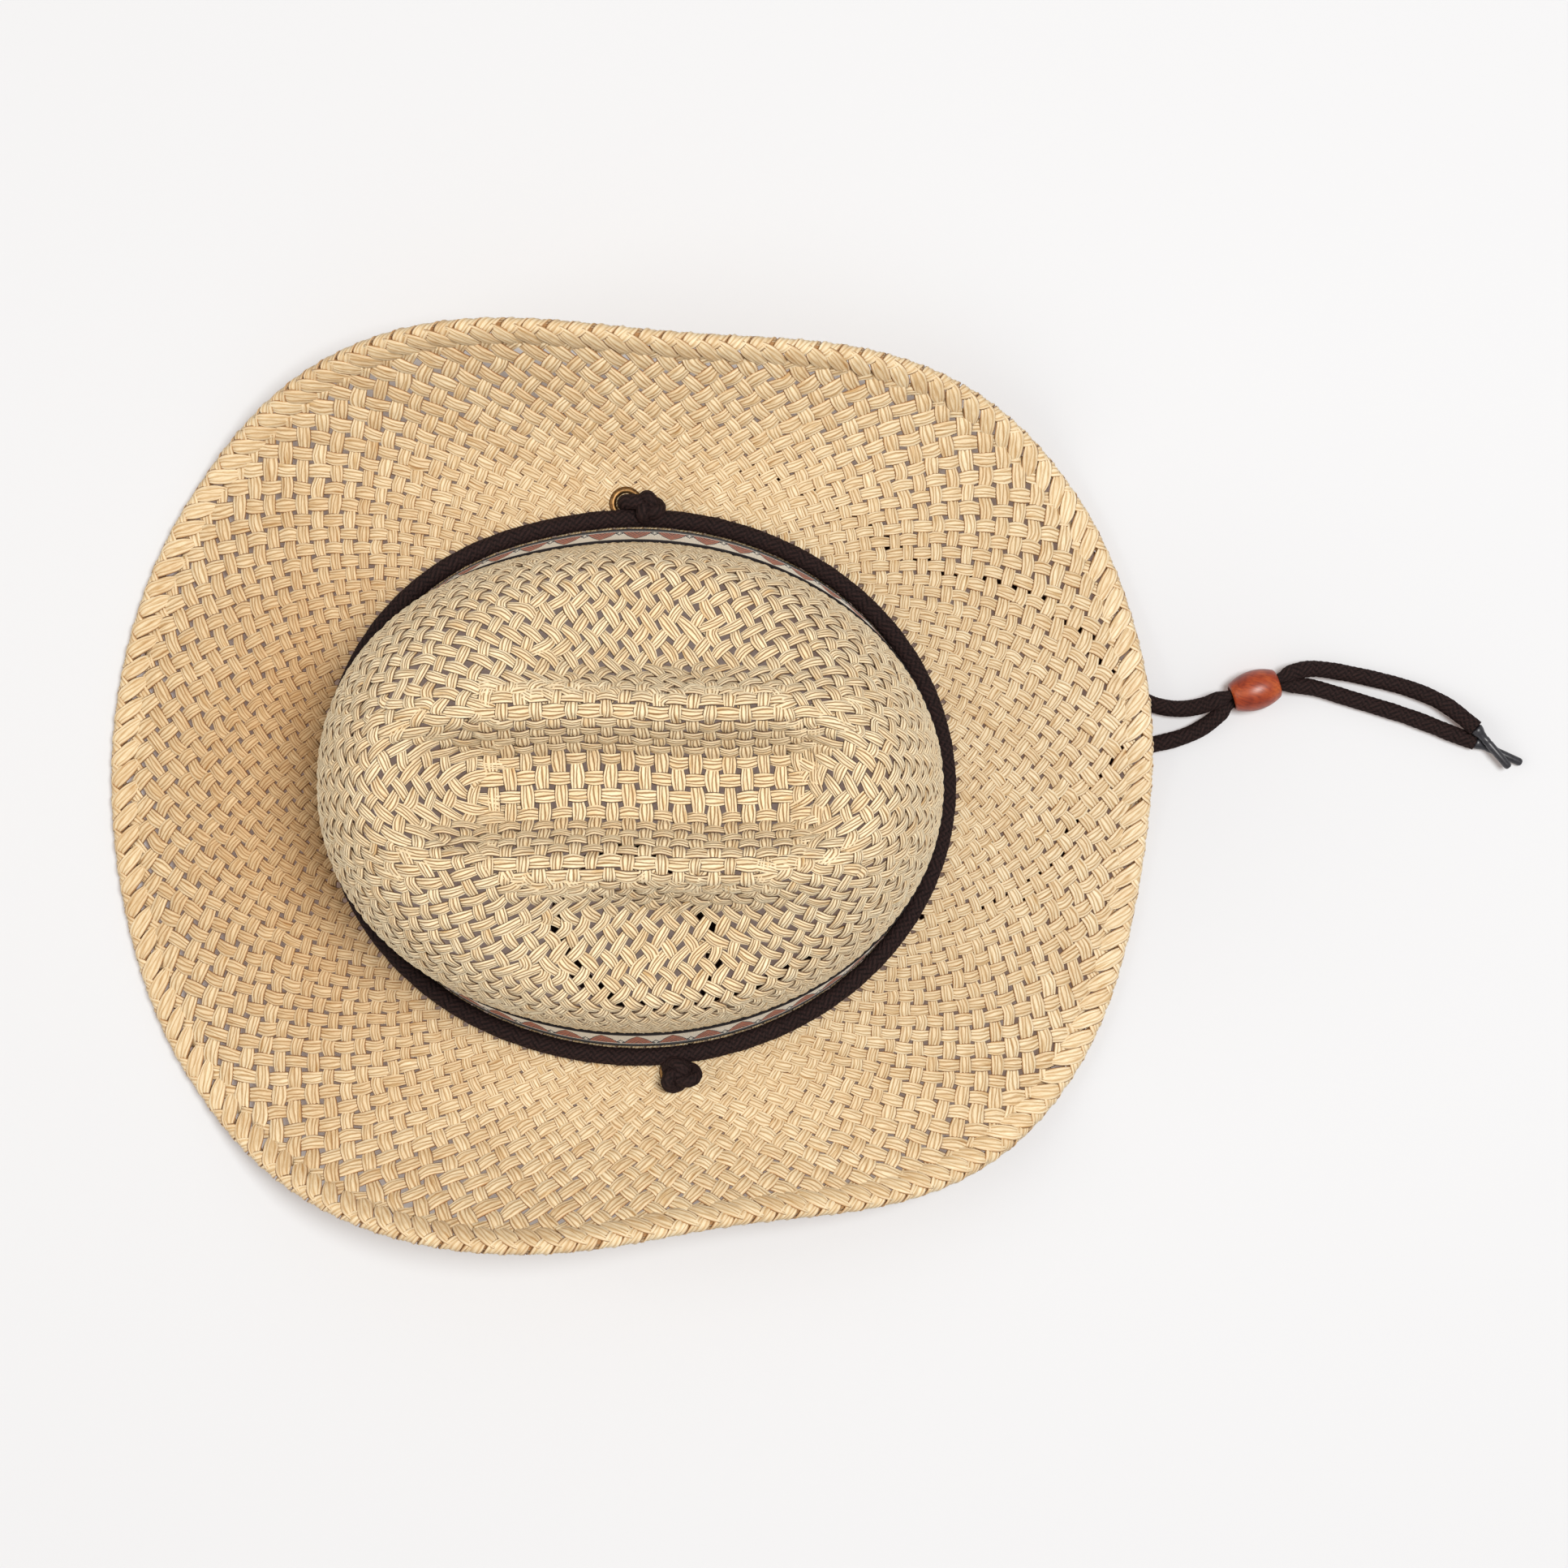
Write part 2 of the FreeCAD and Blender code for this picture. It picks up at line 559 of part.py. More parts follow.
os.makedirs("parts", exist_ok=True)
for node, shape in build().items():
    box = shape.BoundBox
    print(node, shape.ShapeType, shape.isValid(), "solids", len(shape.Solids),
          "volume", round(shape.Volume, 1),
          "X", round(box.XMin, 1), round(box.XMax, 1), "Y", round(box.YMin, 1), round(box.YMax, 1),
          "Z", round(box.ZMin, 2), round(box.ZMax, 2))
    shape.exportStep("parts/" + node + ".step")
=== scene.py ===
"""Looks of the woven straw western hat: woven crown and brim, plaited rim, ribbon, cords and bead.

Metres, in the model's own frame. +Z is up, the wearer looks along -Y and the wearer's left is +X.
Angles round the hat start at the front, -Y, and run by the wearer's left, +X.
"""
import bmesh
import bpy
import math
import numpy as np
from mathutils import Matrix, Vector


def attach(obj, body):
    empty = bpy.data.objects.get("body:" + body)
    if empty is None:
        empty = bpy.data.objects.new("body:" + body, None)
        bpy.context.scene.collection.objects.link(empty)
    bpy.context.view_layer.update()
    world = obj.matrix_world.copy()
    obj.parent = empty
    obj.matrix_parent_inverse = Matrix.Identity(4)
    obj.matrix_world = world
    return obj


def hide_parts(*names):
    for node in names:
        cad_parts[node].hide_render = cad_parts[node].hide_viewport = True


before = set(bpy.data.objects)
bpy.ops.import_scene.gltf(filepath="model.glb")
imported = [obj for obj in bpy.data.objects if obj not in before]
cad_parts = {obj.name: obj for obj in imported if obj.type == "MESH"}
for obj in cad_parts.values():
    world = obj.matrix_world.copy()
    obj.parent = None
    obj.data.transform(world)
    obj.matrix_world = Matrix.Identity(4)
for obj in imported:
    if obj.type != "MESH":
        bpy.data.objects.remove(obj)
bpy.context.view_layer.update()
RANDOM = np.random.default_rng(11)
MM = 0.001

# ---- the hat's own dimensions, as the model has them, in metres ----
STRAW = 0.0020
BRIM_TOP = 0.028
RIM_RADII = (0.1820, 0.1860, 0.1830, 0.1620, 0.1529, 0.1675, 0.1825, 0.1840,
             0.1823, 0.1840, 0.1825, 0.1660, 0.1519, 0.1565, 0.1805, 0.1835)
BRAID_RADIUS = 0.0027
SIDE_ROLL_START = 0.103
SIDE_ROLL_SPAN = 0.052
SIDE_ROLL_RISE = 0.036
SIDE_ROLL_POWER = 1.7
FRONT_DROP = 0.0245
BACK_DROP = 0.0242
DROP_POWER = 1.15
CORD_GATE_RISE = 0.0084
CORD_GATE_X = 0.022
CORD_GATE_WIDTH = 0.031
CROWN_CENTRE_Y = -0.0039
BASE_HALF_WIDTH = 0.0876
BASE_HALF_LENGTH = 0.1012
BACK_SQUARENESS = 0.10
BACK_SKEW = 0.020
FILLET = 0.004
CROWN_HEIGHT = 0.098
UPPER_HALF_WIDTH = 0.0795
WALL_FLARE_HEIGHT = 0.018
FRONT_BULGE = 0.0045
BACK_BULGE = 0.0068
END_BULGE_HEIGHT = 0.060
SPINE_HALF_WIDTH = 0.006
SPINE_HALF_LENGTH = 0.046
SIDE_SQUARENESS = 4.0
END_SQUARENESS = 2.5
CREASE_DEPTH = 0.024
CREASE_FLOOR_HALF = 0.005
CREASE_RIDGE_HALF = 0.025
CREASE_END_START = 0.040
CREASE_END_STOP = 0.090
CREASE_RISES = (0.35, 0.85)      # the crease and dents start and are full at these shares of the height
DENT_DEPTH = 0.023
DENT_CENTRE_Y = -0.019
DENT_HALF_LENGTH = 0.044
DENT_INNER = 0.043
DENT_FADE = 0.92                 # of its depth, lost between these distances from the middle
DENT_FADE_SPAN = (0.046, 0.080)
CORD_DIAMETER = 0.0057
BAND_CORD_RADIUS = 0.0029
BAND_CORD_HALF_WIDTH = 0.0922
BAND_CORD_HALF_LENGTH = 0.1056
BAND_CORD_Z = BRIM_TOP + BAND_CORD_RADIUS + 0.0010
NECK_RADIUS = 0.00165
EYELETS = {"left": (0.0973, 0.0006), "right": (-0.0973, -0.0165)}
BEAD_CENTRE = np.array((0.0339, -0.2178, 0.0069))
BEAD_DIRECTION = np.array((0.309, -0.951, 0.0)) / math.hypot(0.309, 0.951)
BEAD_LENGTH = 0.017
BEAD_RADIUS = 0.00685
BEAD_END_RADIUS = 0.0045
BEAD_BORE_RADIUS = 0.00375
STRAND_OFFSET = 0.00125
BEAD_LEAD = 0.0008


def add_to_scene(name, data):
    """A new object that shows this mesh, camera or light."""
    thing = bpy.data.objects.new(name, data)
    bpy.context.scene.collection.objects.link(thing)
    return thing


# ---- camera ----
def make_camera():
    """Straight above the hat, with the front of the hat to the right of the view."""
    data = bpy.data.cameras.new("camera")
    data.sensor_width = 36.0
    data.lens = 72.9
    camera = add_to_scene("camera", data)
    camera.location = (0.0012, -0.0535, 1.115)
    camera.rotation_euler = (0, 0, -math.pi / 2)
    bpy.context.scene.camera = camera


# ---- materials ----
STRING_GAP = 0.52                # between the strings of a strand, where its half width is 1
WHITE = (1.0, 1.0, 1.0)


class Graph:
    """A material's nodes, with short calls for the kinds used here."""

    def __init__(self, name, **shader_values):
        self.material = bpy.data.materials.new(name)
        self.material.use_nodes = True
        self.tree = self.material.node_tree
        self.shader = self.tree.nodes["Principled BSDF"]
        for socket, value in shader_values.items():
            self.shader.inputs[socket.replace("_", " ")].default_value = value

    def feed(self, socket, value):
        if isinstance(value, bpy.types.NodeSocket):
            self.tree.links.new(value, socket)
        else:
            socket.default_value = value

    def add(self, kind, inputs=(), **settings):
        node = self.tree.nodes.new("ShaderNode" + kind)
        for key, value in settings.items():
            setattr(node, key, value)
        for socket, value in dict(inputs).items():
            self.feed(node.inputs[socket], value)
        return node

    def math(self, operation, *values):
        node = self.add("Math", operation=operation)
        for socket, value in zip(node.inputs, values):
            self.feed(socket, value)
        return node.outputs[0]

    def plus(self, first, second):
        return self.math("ADD", first, second)

    def minus(self, first, second):
        return self.math("SUBTRACT", first, second)

    def times(self, first, second):
        return self.math("MULTIPLY", first, second)

    def split(self, vector):
        """The three parts of a vector."""
        return tuple(self.add("SeparateXYZ", {"Vector": vector}).outputs)

    def ramp(self, factor, stops, interpolation="LINEAR"):
        node = self.add("ValToRGB", {"Fac": factor})
        ramp = node.color_ramp
        ramp.interpolation = interpolation
        ramp.elements.remove(ramp.elements[1])
        ramp.elements[0].position = stops[0][0]
        ramp.elements[0].color = (*stops[0][1], 1)
        for position, colour in stops[1:]:
            ramp.elements.new(position).color = (*colour, 1)
        return node.outputs["Color"]

    def mix(self, factor, first, second, blend="MIX"):
        node = self.add("Mix", data_type="RGBA", blend_type=blend)
        self.feed(node.inputs[0], factor)
        self.feed(node.inputs[6], first)
        self.feed(node.inputs[7], second)
        return node.outputs[2]

    def shade(self, colour, factor):
        return self.mix(1.0, colour, factor, "MULTIPLY")

    def span(self, value, start, end, low=0.0, high=1.0):
        """The value from start to end made to run from low to high."""
        return self.add("MapRange", {"Value": value, "From Min": start, "From Max": end, "To Min": low,
                                     "To Max": high}).outputs["Result"]

    def noise(self, vector, scale, detail=3.0, roughness=0.6):
        node = self.add("TexNoise", {"Vector": vector, "Scale": scale, "Detail": detail,
                                     "Roughness": roughness})
        return node.outputs["Fac"]

    def stretched(self, vector, scale, rotation=(0, 0, 0)):
        node = self.add("Mapping", {"Vector": vector})
        node.inputs["Scale"].default_value = scale
        node.inputs["Rotation"].default_value = rotation
        return node.outputs["Vector"]

    def uv(self):
        return self.add("UVMap", uv_map="UVMap").outputs["UV"]

    def place(self):
        return self.add("TexCoord").outputs["Object"]

    def tint(self):
        return self.add("Attribute", attribute_name="tint").outputs["Fac"]

    def threads(self, value, count):
        """Waves across the threads of a cloth, this many for each unit of the value."""
        return self.math("SINE", self.times(value, 2 * math.pi * count))

    def finished(self, colour, height, strength, distance, roughness=None):
        """The material with its colour, its bumps and perhaps a roughness that follows the bumps."""
        self.feed(self.shader.inputs["Base Color"], colour)
        node = self.add("Bump", {"Height": height, "Strength": strength, "Distance": distance})
        self.feed(self.shader.inputs["Normal"], node.outputs["Normal"])
        if roughness:
            self.feed(self.shader.inputs["Roughness"], self.span(height, 0.0, 1.0, *roughness))
        return self.material


def linear(red, green, blue):
    """An 8-bit display colour as a linear one."""
    values = []
    for channel in (red, green, blue):
        c = channel / 255
        values.append(c / 12.92 if c <= 0.04045 else ((c + 0.055) / 1.055) ** 2.4)
    return tuple(values)


PALE_STRAW = linear(253, 240, 207)
DARK_STRAW = linear(210, 177, 130)
# Painted shade on the brim and rim, from the front of the hat, 0, to its back, 1: darkest just behind the
# crown, where the crown shades the brim.
BRIM_PAINTED_SHADE = ((0.0, (0.96, 0.97, 1.0)), (0.50, (0.81, 0.79, 0.77)), (0.80, (0.70, 0.56, 0.42)),
              (0.97, (0.86, 0.82, 0.77)))


def straw_material(name, pale, dark, painted_groove_colour, painted_edge_colour, relief, painted_shade_stops=None):
    """Twisted paper straw: fine fibres along each strand, its own tint and darker specks, with painted shade
    in the grooves between its strings and along its edges, and painted shade from the front of the hat to its
    back where stops are given.
    """
    graph = Graph(name, Roughness=0.6, Specular_IOR_Level=0.35, Sheen_Weight=0.08, Sheen_Roughness=0.5)
    across, along, _ = graph.split(graph.uv())
    tint = graph.tint()
    own_place = graph.times(tint, 57.0)
    place = graph.add("CombineXYZ", {"X": across, "Y": along, "Z": own_place}).outputs["Vector"]
    fibre = graph.noise(graph.stretched(place, (9.0, 1.1, 1.0)), 1.0, 4.0, 0.65)
    streak = graph.noise(graph.stretched(place, (2.6, 0.35, 1.0)), 1.0, 2.0)
    middle = tuple(0.5 * (a + b) for a, b in zip(pale, dark))
    base = graph.ramp(graph.plus(graph.times(fibre, 0.85), graph.times(tint, 0.16)),
                      [(0.22, dark), (0.50, middle), (0.78, pale)])
    speck = graph.ramp(streak, [(0.26, (0.74, 0.60, 0.41)), (0.44, WHITE)])
    # Painted shade in the grooves between the strings of each strand.
    painted_groove_mask = graph.math("COSINE", graph.times(across, 2 * math.pi / STRING_GAP))
    painted_groove_shade = graph.ramp(graph.math("MULTIPLY_ADD", painted_groove_mask, 0.5, 0.5), [(0.40, WHITE), (0.97, painted_groove_colour)])
    # Painted shade along both edges of each strand, between it and its neighbours.
    edge = graph.ramp(graph.math("ABSOLUTE", across), [(0.82, WHITE), (0.98, painted_edge_colour)])
    straw = graph.shade(graph.shade(graph.shade(base, speck), painted_groove_shade), edge)
    if painted_shade_stops:
        # Painted shade from the front of the hat to its back, darkest just behind the crown, which fades
        # towards the sides.
        x, y, _ = graph.split(graph.place())
        painted_shade = graph.ramp(graph.span(y, -0.185, 0.185), painted_shade_stops)
        aside = graph.span(graph.math("ABSOLUTE", x), 0.03, 0.10, 0.0, 0.8)
        straw = graph.shade(straw, graph.mix(aside, painted_shade, (0.91, 0.90, 0.89, 1)))
    return graph.finished(straw, fibre, relief, 0.00035, (0.46, 0.74))


def cord_material(name, deep, bright):
    """Dark brown knitted cord with a soft nap, and painted shade in the hollows between its strings."""
    graph = Graph(name, Roughness=0.85, Specular_IOR_Level=0.18, Sheen_Weight=0.35, Sheen_Roughness=0.6,
                  Sheen_Tint=(*bright, 1))
    nap = graph.noise(graph.place(), 1400.0, 3.0, 0.7)
    wear = graph.noise(graph.place(), 60.0, 2.0)
    ridge_colour = graph.mix(graph.times(wear, 0.5), graph.ramp(nap, [(0.3, deep), (0.75, bright)]), (*bright, 1))
    # Painted shade: darker where the braid's ridge height, stored as the tint, is low.
    painted_hollow_shade = (*[0.35 * c for c in deep], 1)
    colour = graph.mix(graph.math("POWER", graph.tint(), 1.5), painted_hollow_shade, ridge_colour)
    return graph.finished(colour, nap, 0.6, 0.0003, (0.75, 0.95))


def ribbon_material():
    """A jacquard ribbon: a row of stepped triangles between black and cream lines."""
    cream = linear(244, 238, 224)
    black = linear(26, 20, 22)
    rust = linear(186, 104, 66)
    brown = linear(98, 56, 42)
    graph = Graph("patterned_ribbon", Roughness=0.8, Specular_IOR_Level=0.25, Sheen_Weight=0.15)
    across, up, _ = graph.split(graph.uv())
    threads_across = 26.0
    threads_up = 40.0
    turn = graph.math("FRACT", across)
    step = graph.math("DIVIDE", graph.math("FLOOR", graph.times(turn, threads_across)), threads_across)
    height = graph.math("DIVIDE", graph.math("FLOOR", graph.times(up, threads_up)), threads_up)
    peak = graph.minus(1.0, graph.math("ABSOLUTE", graph.minus(graph.times(step, 2.0), 1.0)))
    field = graph.math("DIVIDE", graph.minus(height, 0.14), 0.70)
    inside = graph.math("MULTIPLY_ADD", graph.minus(peak, field), 0.5, 0.5)
    pattern = graph.ramp(inside, [
        (0.0, cream), (0.54, black), (0.59, rust), (0.67, brown), (0.70, rust), (0.78, brown),
        (0.81, rust), (0.89, black), (0.93, rust)], "CONSTANT")
    from_side = graph.math("MINIMUM", step, graph.minus(1.0, step))
    diamond = graph.plus(graph.times(from_side, 1.6), graph.math("ABSOLUTE", graph.minus(field, 0.10)))
    foot = graph.ramp(diamond, [(0.0, cream), (0.10, black), (0.20, cream)], "CONSTANT")
    pattern = graph.mix(graph.math("LESS_THAN", diamond, 0.20), pattern, foot)
    border = graph.ramp(height, [(0.0, black), (0.10, cream), (0.80, cream), (0.87, black)], "CONSTANT")
    in_field = graph.times(graph.math("GREATER_THAN", height, 0.13), graph.math("LESS_THAN", height, 0.84))
    waves = graph.plus(graph.threads(up, threads_up), graph.threads(across, threads_across))
    thread = graph.math("MULTIPLY_ADD", waves, 0.25, 0.5)
    # Painted shade between the threads, darker where the threads' height is low.
    shade = graph.ramp(thread, [(0.0, (0.84, 0.83, 0.82)), (1.0, WHITE)])
    return graph.finished(graph.shade(graph.mix(in_field, border, pattern), shade), thread, 0.7, 0.0002)


def cloth_material():
    """Plain cotton webbing of the sweatband."""
    graph = Graph("sweatband_cloth", Roughness=0.9, Specular_IOR_Level=0.2, Sheen_Weight=0.2)
    across, up, _ = graph.split(graph.uv())
    waves = graph.times(graph.threads(up, 34.0), graph.threads(across, 14.0))
    thread = graph.math("MULTIPLY_ADD", waves, 0.5, 0.5)
    soil = graph.noise(graph.place(), 45.0, 3.0)
    colour = graph.mix(soil, (*linear(104, 80, 58), 1), (*linear(138, 112, 84), 1))
    # Painted shade between the threads, darker where the threads' height is low.
    shade = graph.ramp(thread, [(0.0, (0.62, 0.62, 0.62)), (1.0, WHITE)])
    return graph.finished(graph.shade(colour, shade), thread, 0.6, 0.0003)


def mottled_material(name, stops, roughness, relief, scale, detail, grain=0.6, stretch=None, **shader_values):
    """A hard surface whose colour and gloss vary with one noise."""
    graph = Graph(name, **shader_values)
    place = graph.place()
    noise = graph.noise(graph.stretched(place, stretch) if stretch else place, scale, detail, grain)
    return graph.finished(graph.ramp(noise, stops), noise, relief, 0.0001, roughness)


def brass_material():
    """Aged brass, darker where it is tarnished."""
    return mottled_material("aged_brass", [(0.3, linear(84, 58, 34)), (0.7, linear(158, 122, 78))],
                            (0.28, 0.6), 0.25, 420.0, 4.0, 0.7, Metallic=1.0)


def steel_material():
    """Drawn steel wire, streaked along its length."""
    return mottled_material("steel_wire", [(0.2, (0.30, 0.30, 0.31)), (0.8, (0.56, 0.56, 0.57))], (0.25, 0.5),
                            0.3, 1.0, 3.0, stretch=(900.0, 900.0, 200.0), Metallic=1.0)


def wood_material():
    """Stained and varnished bead: grain along its bore."""
    graph = Graph("varnished_wood", Roughness=0.42, Coat_Weight=0.35, Coat_Roughness=0.34,
                  Specular_IOR_Level=0.4)
    along_bore = graph.stretched(graph.place(), (1.0, 1.0, 1.0), (0, 0, math.atan2(0.309, 0.951)))
    grain = graph.noise(graph.stretched(along_bore, (1500.0, 170.0, 1500.0)), 1.0, 4.0, 0.6)
    cloud = graph.noise(graph.stretched(along_bore, (160.0, 110.0, 160.0)), 1.0, 2.0)
    base = graph.ramp(cloud, [(0.30, linear(112, 32, 12)), (0.52, linear(150, 56, 20)),
                              (0.74, linear(180, 86, 36))])
    lines = graph.ramp(grain, [(0.32, (0.62, 0.52, 0.46)), (0.55, WHITE)])
    return graph.finished(graph.shade(base, lines), grain, 0.12, 0.0001)


def plastic_material():
    """Black moulded tips with fine scuffs."""
    return mottled_material("black_plastic", [(0.35, linear(30, 29, 33)), (0.75, linear(58, 57, 63))],
                            (0.24, 0.5), 0.15, 900.0, 4.0, 0.7, Specular_IOR_Level=0.5)


# ---- the hat's surface ----
def smooth_step(low, high, value):
    """0 below low, 1 above high, and smooth between."""
    t = np.clip((value - low) / (high - low), 0.0, 1.0)
    return t * t * t * (t * (6 * t - 15) + 10)


def evenly_round(count):
    """Angles all the way round, without the last, which is the first again."""
    return np.linspace(0, 2 * math.pi, count, endpoint=False)


def rim_radius(angle):
    """The rim's radius: the wave through RIM_RADII that has as few ripples as it can."""
    count = len(RIM_RADII)
    total = np.zeros_like(angle)
    for k, radius in enumerate(RIM_RADII):
        d = angle - 2 * math.pi * k / count
        weight = 1.0 + np.cos(count / 2 * d)
        for n in range(1, count // 2):
            weight = weight + 2 * np.cos(n * d)
        total = total + radius * weight / count
    return total


def back_power(back):
    """The outline's power: 2 is an ellipse, and more is squarer."""
    return 2 + BACK_SQUARENESS * smooth_step(0.0, 0.7, back)


def outline(angle):
    """Shares of the half width and the half length: an ellipse in front, fuller and askew behind."""
    sine = np.sin(angle)
    cosine = np.cos(angle)
    back = np.maximum(0.0, -cosine)
    power = back_power(back)
    size = (np.abs(sine) ** power + np.abs(cosine) ** power) ** (-1 / power)
    return sine * size + BACK_SKEW * smooth_step(0.0, 1.0, back), cosine * size


def brim_point(angle, t):
    """Upper face of the brim. t is 0 at the foot of the fillet and 1 at the braid's middle."""
    sine = np.sin(angle)
    cosine = np.cos(angle)
    across, ahead = outline(angle)
    root_x = (BASE_HALF_WIDTH + FILLET) * across
    root_y = CROWN_CENTRE_Y - (BASE_HALF_LENGTH + FILLET) * ahead
    reach = rim_radius(angle) - BRAID_RADIUS
    x = root_x + (reach * sine - root_x) * t
    y = root_y + (-reach * cosine - root_y) * t
    over = np.maximum(0.0, np.abs(x) - SIDE_ROLL_START) / SIDE_ROLL_SPAN
    drop = np.where(cosine > 0, FRONT_DROP, BACK_DROP)
    sunk = drop * (1 - sine ** 4) * np.abs(t) ** DROP_POWER
    z = BRIM_TOP - sunk + SIDE_ROLL_RISE * over ** SIDE_ROLL_POWER
    gate = CORD_GATE_RISE * np.exp(-((x - CORD_GATE_X) / CORD_GATE_WIDTH) ** 2) * t * t
    return np.stack([x, y, z + np.where(cosine > 0, gate, 0.0)], axis=-1)


def crease_depth(x, y, rise):
    """How far the crease and the two dents sink the crown."""
    along = y - CROWN_CENTRE_Y
    middle = 1 - smooth_step(CREASE_FLOOR_HALF, CREASE_RIDGE_HALF, np.abs(x))
    middle = middle * (1 - smooth_step(CREASE_END_START, CREASE_END_STOP, np.abs(along)))
    dent = smooth_step(CREASE_RIDGE_HALF, DENT_INNER, np.abs(x))
    dent = dent * (1 - DENT_FADE * smooth_step(*DENT_FADE_SPAN, np.abs(x)))
    dent = dent * np.exp(-((y - DENT_CENTRE_Y) / DENT_HALF_LENGTH) ** 2)
    return (CREASE_DEPTH * middle + DENT_DEPTH * dent) * smooth_step(*CREASE_RISES, rise)


def crown_point(angle, q):
    """The creased crown. q is 0 at its base and 1 at the spine."""
    sine = np.sin(angle)
    cosine = np.cos(angle)
    power = SIDE_SQUARENESS * sine ** 2 + END_SQUARENESS * cosine ** 2
    rise = np.sin(q * math.pi / 2)
    spread = np.maximum(0.0, np.cos(q * math.pi / 2))
    size = (rise ** power + spread ** power) ** (-1 / power)
    rise = rise * size
    spread = spread * size
    height = CROWN_HEIGHT * rise
    flare = np.exp(-height / WALL_FLARE_HEIGHT)
    half_width = UPPER_HALF_WIDTH + (BASE_HALF_WIDTH - UPPER_HALF_WIDTH) * flare
    bulge = np.where(cosine > 0, FRONT_BULGE, BACK_BULGE)
    half_length = BASE_HALF_LENGTH + bulge * np.minimum(1.0, height / END_BULGE_HEIGHT)
    across, ahead = outline(angle)
    x = across * (SPINE_HALF_WIDTH + (half_width - SPINE_HALF_WIDTH) * spread)
    y = CROWN_CENTRE_Y - ahead * (SPINE_HALF_LENGTH + (half_length - SPINE_HALF_LENGTH) * spread)
    z = BRIM_TOP + FILLET + height - crease_depth(x, y, rise)
    return np.stack([x, y, z], axis=-1)


def fillet_point(angle, t):
    """Upper face from the crown's base, t 0, round the fillet to the brim, t 1."""
    bend = t * math.pi / 2
    out = FILLET * (1 - math.cos(bend))
    down = FILLET * (1 - math.sin(bend))
    across, ahead = outline(angle)
    x = (BASE_HALF_WIDTH + out) * across
    y = CROWN_CENTRE_Y - (BASE_HALF_LENGTH + out) * ahead
    return np.stack([x, y, np.full_like(x, BRIM_TOP + down)], axis=-1)


MERIDIAN_ANGLES = np.linspace(0, 2 * math.pi, 181)
MERIDIAN_RISES = np.linspace(0, 1, 241)


def measure_meridians():
    """At each of the angles, how far along its way to the top the crown's surface is at each rise."""
    grid = np.array([crown_point(MERIDIAN_ANGLES, q) for q in MERIDIAN_RISES])
    steps = np.linalg.norm(np.diff(grid, axis=0), axis=2)
    travelled = np.vstack([np.zeros(len(MERIDIAN_ANGLES)), np.cumsum(steps, axis=0)])
    return travelled / travelled[-1]


MERIDIAN_SHARES = measure_meridians()


def even_crown_point(angle, share):
    """The creased crown, by the share of the way along its surface from its base to its spine."""
    rises = np.array([np.interp(share, MERIDIAN_SHARES[:, k], MERIDIAN_RISES)
                      for k in range(len(MERIDIAN_ANGLES))])
    return crown_point(angle, np.interp(np.mod(angle, 2 * math.pi), MERIDIAN_ANGLES, rises))


def root_and_brim_point(angle, t):
    """The fillet for t from -1 to 0, and the brim from there out."""
    if t < 0:
        return fillet_point(angle, t + 1)
    return brim_point(angle, t)


def crown_top_height(x, y):
    """Height of the crown's creased top over a point near its middle."""
    along = y - CROWN_CENTRE_Y
    half_length = BASE_HALF_LENGTH + np.where(along < 0, FRONT_BULGE, BACK_BULGE)
    low = np.zeros_like(x)
    high = np.ones_like(x)
    for _ in range(30):
        spread = 0.5 * (low + high)
        across = x / (SPINE_HALF_WIDTH + (UPPER_HALF_WIDTH - SPINE_HALF_WIDTH) * spread)
        behind = along / (SPINE_HALF_LENGTH + (half_length - SPINE_HALF_LENGTH) * spread)
        back = np.maximum(0.0, behind) / (np.hypot(across, behind) + 1e-9)
        across = across - BACK_SKEW * smooth_step(0.0, 1.0, back)
        power = back_power(back)
        outside = np.abs(across) ** power + np.abs(behind) ** power > 1
        low = np.where(outside, spread, low)
        high = np.where(outside, high, spread)
    angle = np.arctan2(across, -behind)
    power = SIDE_SQUARENESS * np.sin(angle) ** 2 + END_SQUARENESS * np.cos(angle) ** 2
    rise = (1 - spread ** power) ** (1 / power)
    return BRIM_TOP + FILLET + CROWN_HEIGHT * rise - crease_depth(x, y, rise)


def unit(vectors):
    return vectors / np.linalg.norm(vectors, axis=-1, keepdims=True)


def travel(line):
    """How far along the line each of its points is."""
    return np.concatenate([[0.0], np.cumsum(np.linalg.norm(np.diff(line, axis=0), axis=1))])


def interpolate(wanted, known, values):
    """The rows of values at the wanted places, between those at the known ones."""
    return np.stack([np.interp(wanted, known, column) for column in values.T], axis=-1)


class Ring:
    """One level of a surface: points and normals round it, and how far round each of them is."""

    TURNS = np.linspace(0, 1, 721)
    ANGLES = np.linspace(0, 2 * math.pi, 721)

    def __init__(self, surface, t):
        step = 1e-3
        self.points = surface(self.ANGLES, t)
        around = surface(self.ANGLES + step, t) - surface(self.ANGLES - step, t)
        outward = surface(self.ANGLES, t + step) - self.points
        self.normals = unit(np.cross(around, outward))
        if surface in (brim_point, root_and_brim_point):
            self.normals = -self.normals
        self.speed = float(np.mean(np.linalg.norm(outward, axis=1))) / step
        travelled = travel(self.points)
        self.length = float(travelled[-1])
        self.share = travelled / self.length

    def at(self, share, by_angle=False):
        """Points and normals at these shares of the way round, or of the whole turn."""
        known = self.TURNS if by_angle else self.share
        share = np.mod(share, 1.0)
        return interpolate(share, known, self.points), unit(interpolate(share, known, self.normals))


